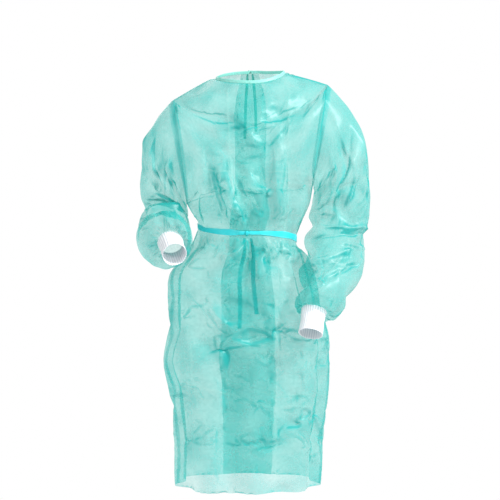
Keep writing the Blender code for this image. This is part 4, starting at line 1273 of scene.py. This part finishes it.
def knitted_cuff(node):
    """A tube of rib knit folded double, open at the sleeve and turned in at the wrist."""
    grid, rows, columns = cuff_grid(node)
    centres = grid[:, :-1].mean(axis=1, keepdims=True)
    out = unit(grid - centres)
    down = unit(centres[-1, 0] - centres[0, 0])
    v, u = np.meshgrid(rows, columns, indexing="ij")
    rib = 0.5 - 0.5 * np.cos(2 * math.pi * np.arange(len(columns)) / RIB_STEPS)
    rib = rib**RIB_POWER * np.ones((len(rows), 1))
    slack = KNIT_SLACK * noise(np.minimum(u, u[0, -1] - u), v, KNIT_LUMP, seed=9)
    outer = grid + out * (rib * RIB_HEIGHT + slack - TROUGH)[..., None]
    inner = (grid - out * (LAYER_DEPTH + rib * INNER_RIB_HEIGHT - slack)[..., None])[::-1]
    turn = [
        outer[-1] + down * TURN_DEPTH * math.sin(a) - out[-1] * TURN_WIDTH * (1 - math.cos(a))
        for a in np.linspace(0, math.pi, TURN_STEPS)[1:-1]
    ]
    sheet = np.concatenate([outer, np.array(turn), inner])
    turn_step, turn_length = 0.0005, 0.003
    turn_v = v[-1:] + np.arange(1, len(turn) + 1)[:, None] * turn_step
    paint = {
        "u": np.concatenate([u, np.repeat(u[:1], len(turn), axis=0), u]),
        "v": np.concatenate([v, turn_v, v[-1:] + turn_length + v]),
        "rib": np.concatenate([rib, np.repeat(rib[-1:], len(turn), axis=0), rib[::-1]]),
    }
    piece = grid_object(f"{node}_knit", sheet, True, False, paint, finish(polyester_rib_knit))
    axis = centres[len(centres) // 2, 0]
    outside = piece.data.polygons[: len(piece.data.polygons) // 3]
    if sum(f.area * float(np.dot(f.normal, np.array(f.center) - axis)) for f in outside) < 0:
        piece.data.flip_normals()
    return piece


# Operators


class GOWN_OT_cloth(bpy.types.Operator):
    """Make the front, the two backs and the two sleeves of settled, creased cloth"""

    bl_idname = "gown.cloth"
    bl_label = "Cloth"

    # The width and length of each cut, and its area without what is cut away for neck, armholes and taper
    cuts = {
        FRONT: ((0.64, 1.12), 0.62),
        BACK_UNDER: ((0.40, 1.12), 0.38),
        BACK_OVER: ((0.40, 1.12), 0.38),
        "sleeve_left": ((0.56, 0.60), 0.27),
        "sleeve_right": ((0.56, 0.60), 0.27),
    }

    def execute(self, context):
        settings = context.scene.gown_cloth
        panels = read_panels()
        armhole = armhole_rows(panels)
        for panel in panels.values():
            panel.corners = armhole
        coarse = grid_counts(panels, settings.settle_cell, armhole)
        fine = grid_counts(panels, settings.fine_cell, armhole)
        shifts = settle(panels, coarse, armhole, settings)
        grids, paint = dressed(panels, fine, armhole, shifts, coarse, settings)
        cloth = finish(spunbond_polypropylene)
        for name, panel in panels.items():
            piece = grid_object(f"{name}_cloth", grids[name], panel.closed, panel.flip, paint[name], cloth)
            put_on(piece, panel.nodes)
        return {"FINISHED"}


class GOWN_OT_cuffs(bpy.types.Operator):
    """Make the two cuffs of white rib knit, each folded double at the wrist"""

    bl_idname = "gown.cuffs"
    bl_label = "Cuffs"

    def execute(self, context):
        for node in ("cuff_left", "cuff_right"):
            piece = knitted_cuff(node)
            put_on(piece, [node])
        return {"FINISHED"}


class GOWN_OT_binding(bpy.types.Operator):
    """Make the binding of the neck, its knot at the nape and its two hanging ends"""

    bl_idname = "gown.binding"
    bl_label = "Neck binding"

    def execute(self, context):
        cloth = finish(spunbond_folded_once)
        rows, normals = strip_grid("neck_binding", from_right_front, RIM_EDGE)
        if rows[0, 0, 2] < rows[0, -1, 2]:
            rows = rows[:, ::-1]
        piece, length, width = make_strip("neck_binding", rows, normals, BOUND_DEPTH, cloth, seed=60)
        knot = tied_knot("neck_knot", width=0.0050, thickness=0.0016, material=cloth, seed=1)
        hang_ends(NECK_TIES, material=cloth, seed=70)
        line = stitch_line(rows, normals, across=0.8, lift=0.00012)
        make_stitches("binding_stitches", [(line, normals, 0.0026, 0.0011, 0.00032)])
        return {"FINISHED"}


class GOWN_OT_belt(bpy.types.Operator):
    """Make the belt in two halves, its tack in front, its knot behind and its hanging ends"""

    bl_idname = "gown.belt"
    bl_label = "Belt"

    def execute(self, context):
        cloth = finish(spunbond_folded_twice)
        runs = []
        for order, node in enumerate(BELT_HALVES):
            rows, normals = strip_grid(node, from_middle_front)
            piece, length, width = make_strip(node, rows, normals, FOLDED_DEPTH, cloth, seed=80 + order)
            if node == BELT_HALVES[0]:
                for knot, size in (("belt_tack", 0.0052), ("belt_knot", 0.0082)):
                    tied_knot(knot, size, size * 0.34, cloth, seed=order + size * 100)
            line = stitch_line(rows, normals, across=0.14, lift=0.0001)
            runs.append((line, normals, 0.0026, 0.0012, 0.0003))
        hang_ends(BELT_ENDS, material=cloth, seed=90)
        make_stitches("belt_stitches", runs)
        return {"FINISHED"}


class GOWN_OT_stage(bpy.types.Operator):
    """Set the pale floor, the soft studio light and the camera"""

    bl_idname = "gown.stage"
    bl_label = "Stage"

    # Each lamp's place, the point that it shines at, its size and its power in watts
    lamps = {
        "key": ((2.1, -1.3, 1.4), (0, 0, -0.35), 0.5, 120),
        "fill": ((-2.2, -1.6, 0.2), (0, 0, -0.5), 1.2, 20),
        "sheen": ((1.0, -2.6, 0.7), (0, 0, -0.35), 0.45, 24),
        "rim": ((-0.8, 2.3, 1.0), (0, 0, -0.4), 1.6, 18),
    }
    camera_away, shown_height, shown_middle = 3.5, 1.35, -0.4725

    def execute(self, context):
        scene = context.scene
        bpy.ops.object.select_all(action="DESELECT")
        bpy.ops.mesh.primitive_circle_add(vertices=96, radius=1.25, fill_type="NGON", location=(0, 0, -1.42))
        floor = context.active_object
        floor.name = "studio_floor"
        bpy.ops.object.mode_set(mode="EDIT")
        bpy.ops.mesh.inset(thickness=0.12)
        bpy.ops.object.mode_set(mode="OBJECT")
        bpy.ops.object.transform_apply()
        floor.data.materials.append(finish(studio_paper))
        scene.world = self.studio_world()
        scene.view_settings.view_transform = "Standard"
        for name, (place, aim, size, watts) in self.lamps.items():
            lamp = bpy.data.lights.new(name, "AREA")
            lamp.size, lamp.energy = size, watts
            self.stand(scene, lamp, place, aim)
        camera = bpy.data.cameras.new("camera")
        camera.sensor_width = 36
        camera.lens = camera.sensor_width * self.camera_away / self.shown_height
        place, aim = (0, -self.camera_away, self.shown_middle), (0, 0, self.shown_middle)
        scene.camera = self.stand(scene, camera, place, aim)
        return {"FINISHED"}

    def studio_world(self):
        """White all round, a little less bright on the gown than to the eye."""
        world = bpy.data.worlds.new("studio")
        world.use_nodes = True
        tree = world.node_tree
        seen = add_node(tree, "LightPath", "Is Camera Ray")
        strength = add_node(tree, "MapRange", Value=seen, To_Min=0.62, To_Max=1.0)
        sky = tree.nodes["Background"]
        sky.inputs["Color"].default_value = (1, 1, 1, 1)
        tree.links.new(strength, sky.inputs["Strength"])
        return world

    def stand(self, scene, thing, place, aim):
        """A lamp or camera at its place, turned to its aim."""
        holder = bpy.data.objects.new(thing.name, thing)
        holder.location = place
        x, y, z = np.array(place) - np.array(aim)
        holder.rotation_euler = (math.pi / 2 - math.atan2(z, math.hypot(x, y)), 0, math.atan2(x, -y))
        scene.collection.objects.link(holder)
        return holder


class GOWN_PT_sidebar(bpy.types.Panel):
    """The gown's pieces and settings"""

    bl_label = "Visitor gown"
    bl_idname = "GOWN_PT_sidebar"
    bl_space_type = "VIEW_3D"
    bl_region_type = "UI"
    bl_category = "Gown"

    def draw(self, context):
        for group in (context.scene.gown_cloth, context.scene.gown_colours):
            for key in group.__annotations__:
                self.layout.prop(group, key)
        for operator in OPERATORS:
            self.layout.operator(operator.bl_idname)


OPERATORS = [GOWN_OT_cloth, GOWN_OT_cuffs, GOWN_OT_binding, GOWN_OT_belt, GOWN_OT_stage]
CLASSES = [GownClothSettings, GownColourSettings, *OPERATORS, GOWN_PT_sidebar]


def register():
    for made in CLASSES:
        bpy.utils.register_class(made)
    bpy.types.Scene.gown_cloth = PointerProperty(type=GownClothSettings)
    bpy.types.Scene.gown_colours = PointerProperty(type=GownColourSettings)


def unregister():
    del bpy.types.Scene.gown_colours
    del bpy.types.Scene.gown_cloth
    for made in reversed(CLASSES):
        bpy.utils.unregister_class(made)


def main():
    register()
    bpy.ops.gown.stage()
    bpy.ops.gown.cloth()
    bpy.ops.gown.cuffs()
    bpy.ops.gown.binding()
    bpy.ops.gown.belt()


if __name__ == "__main__":
    main()
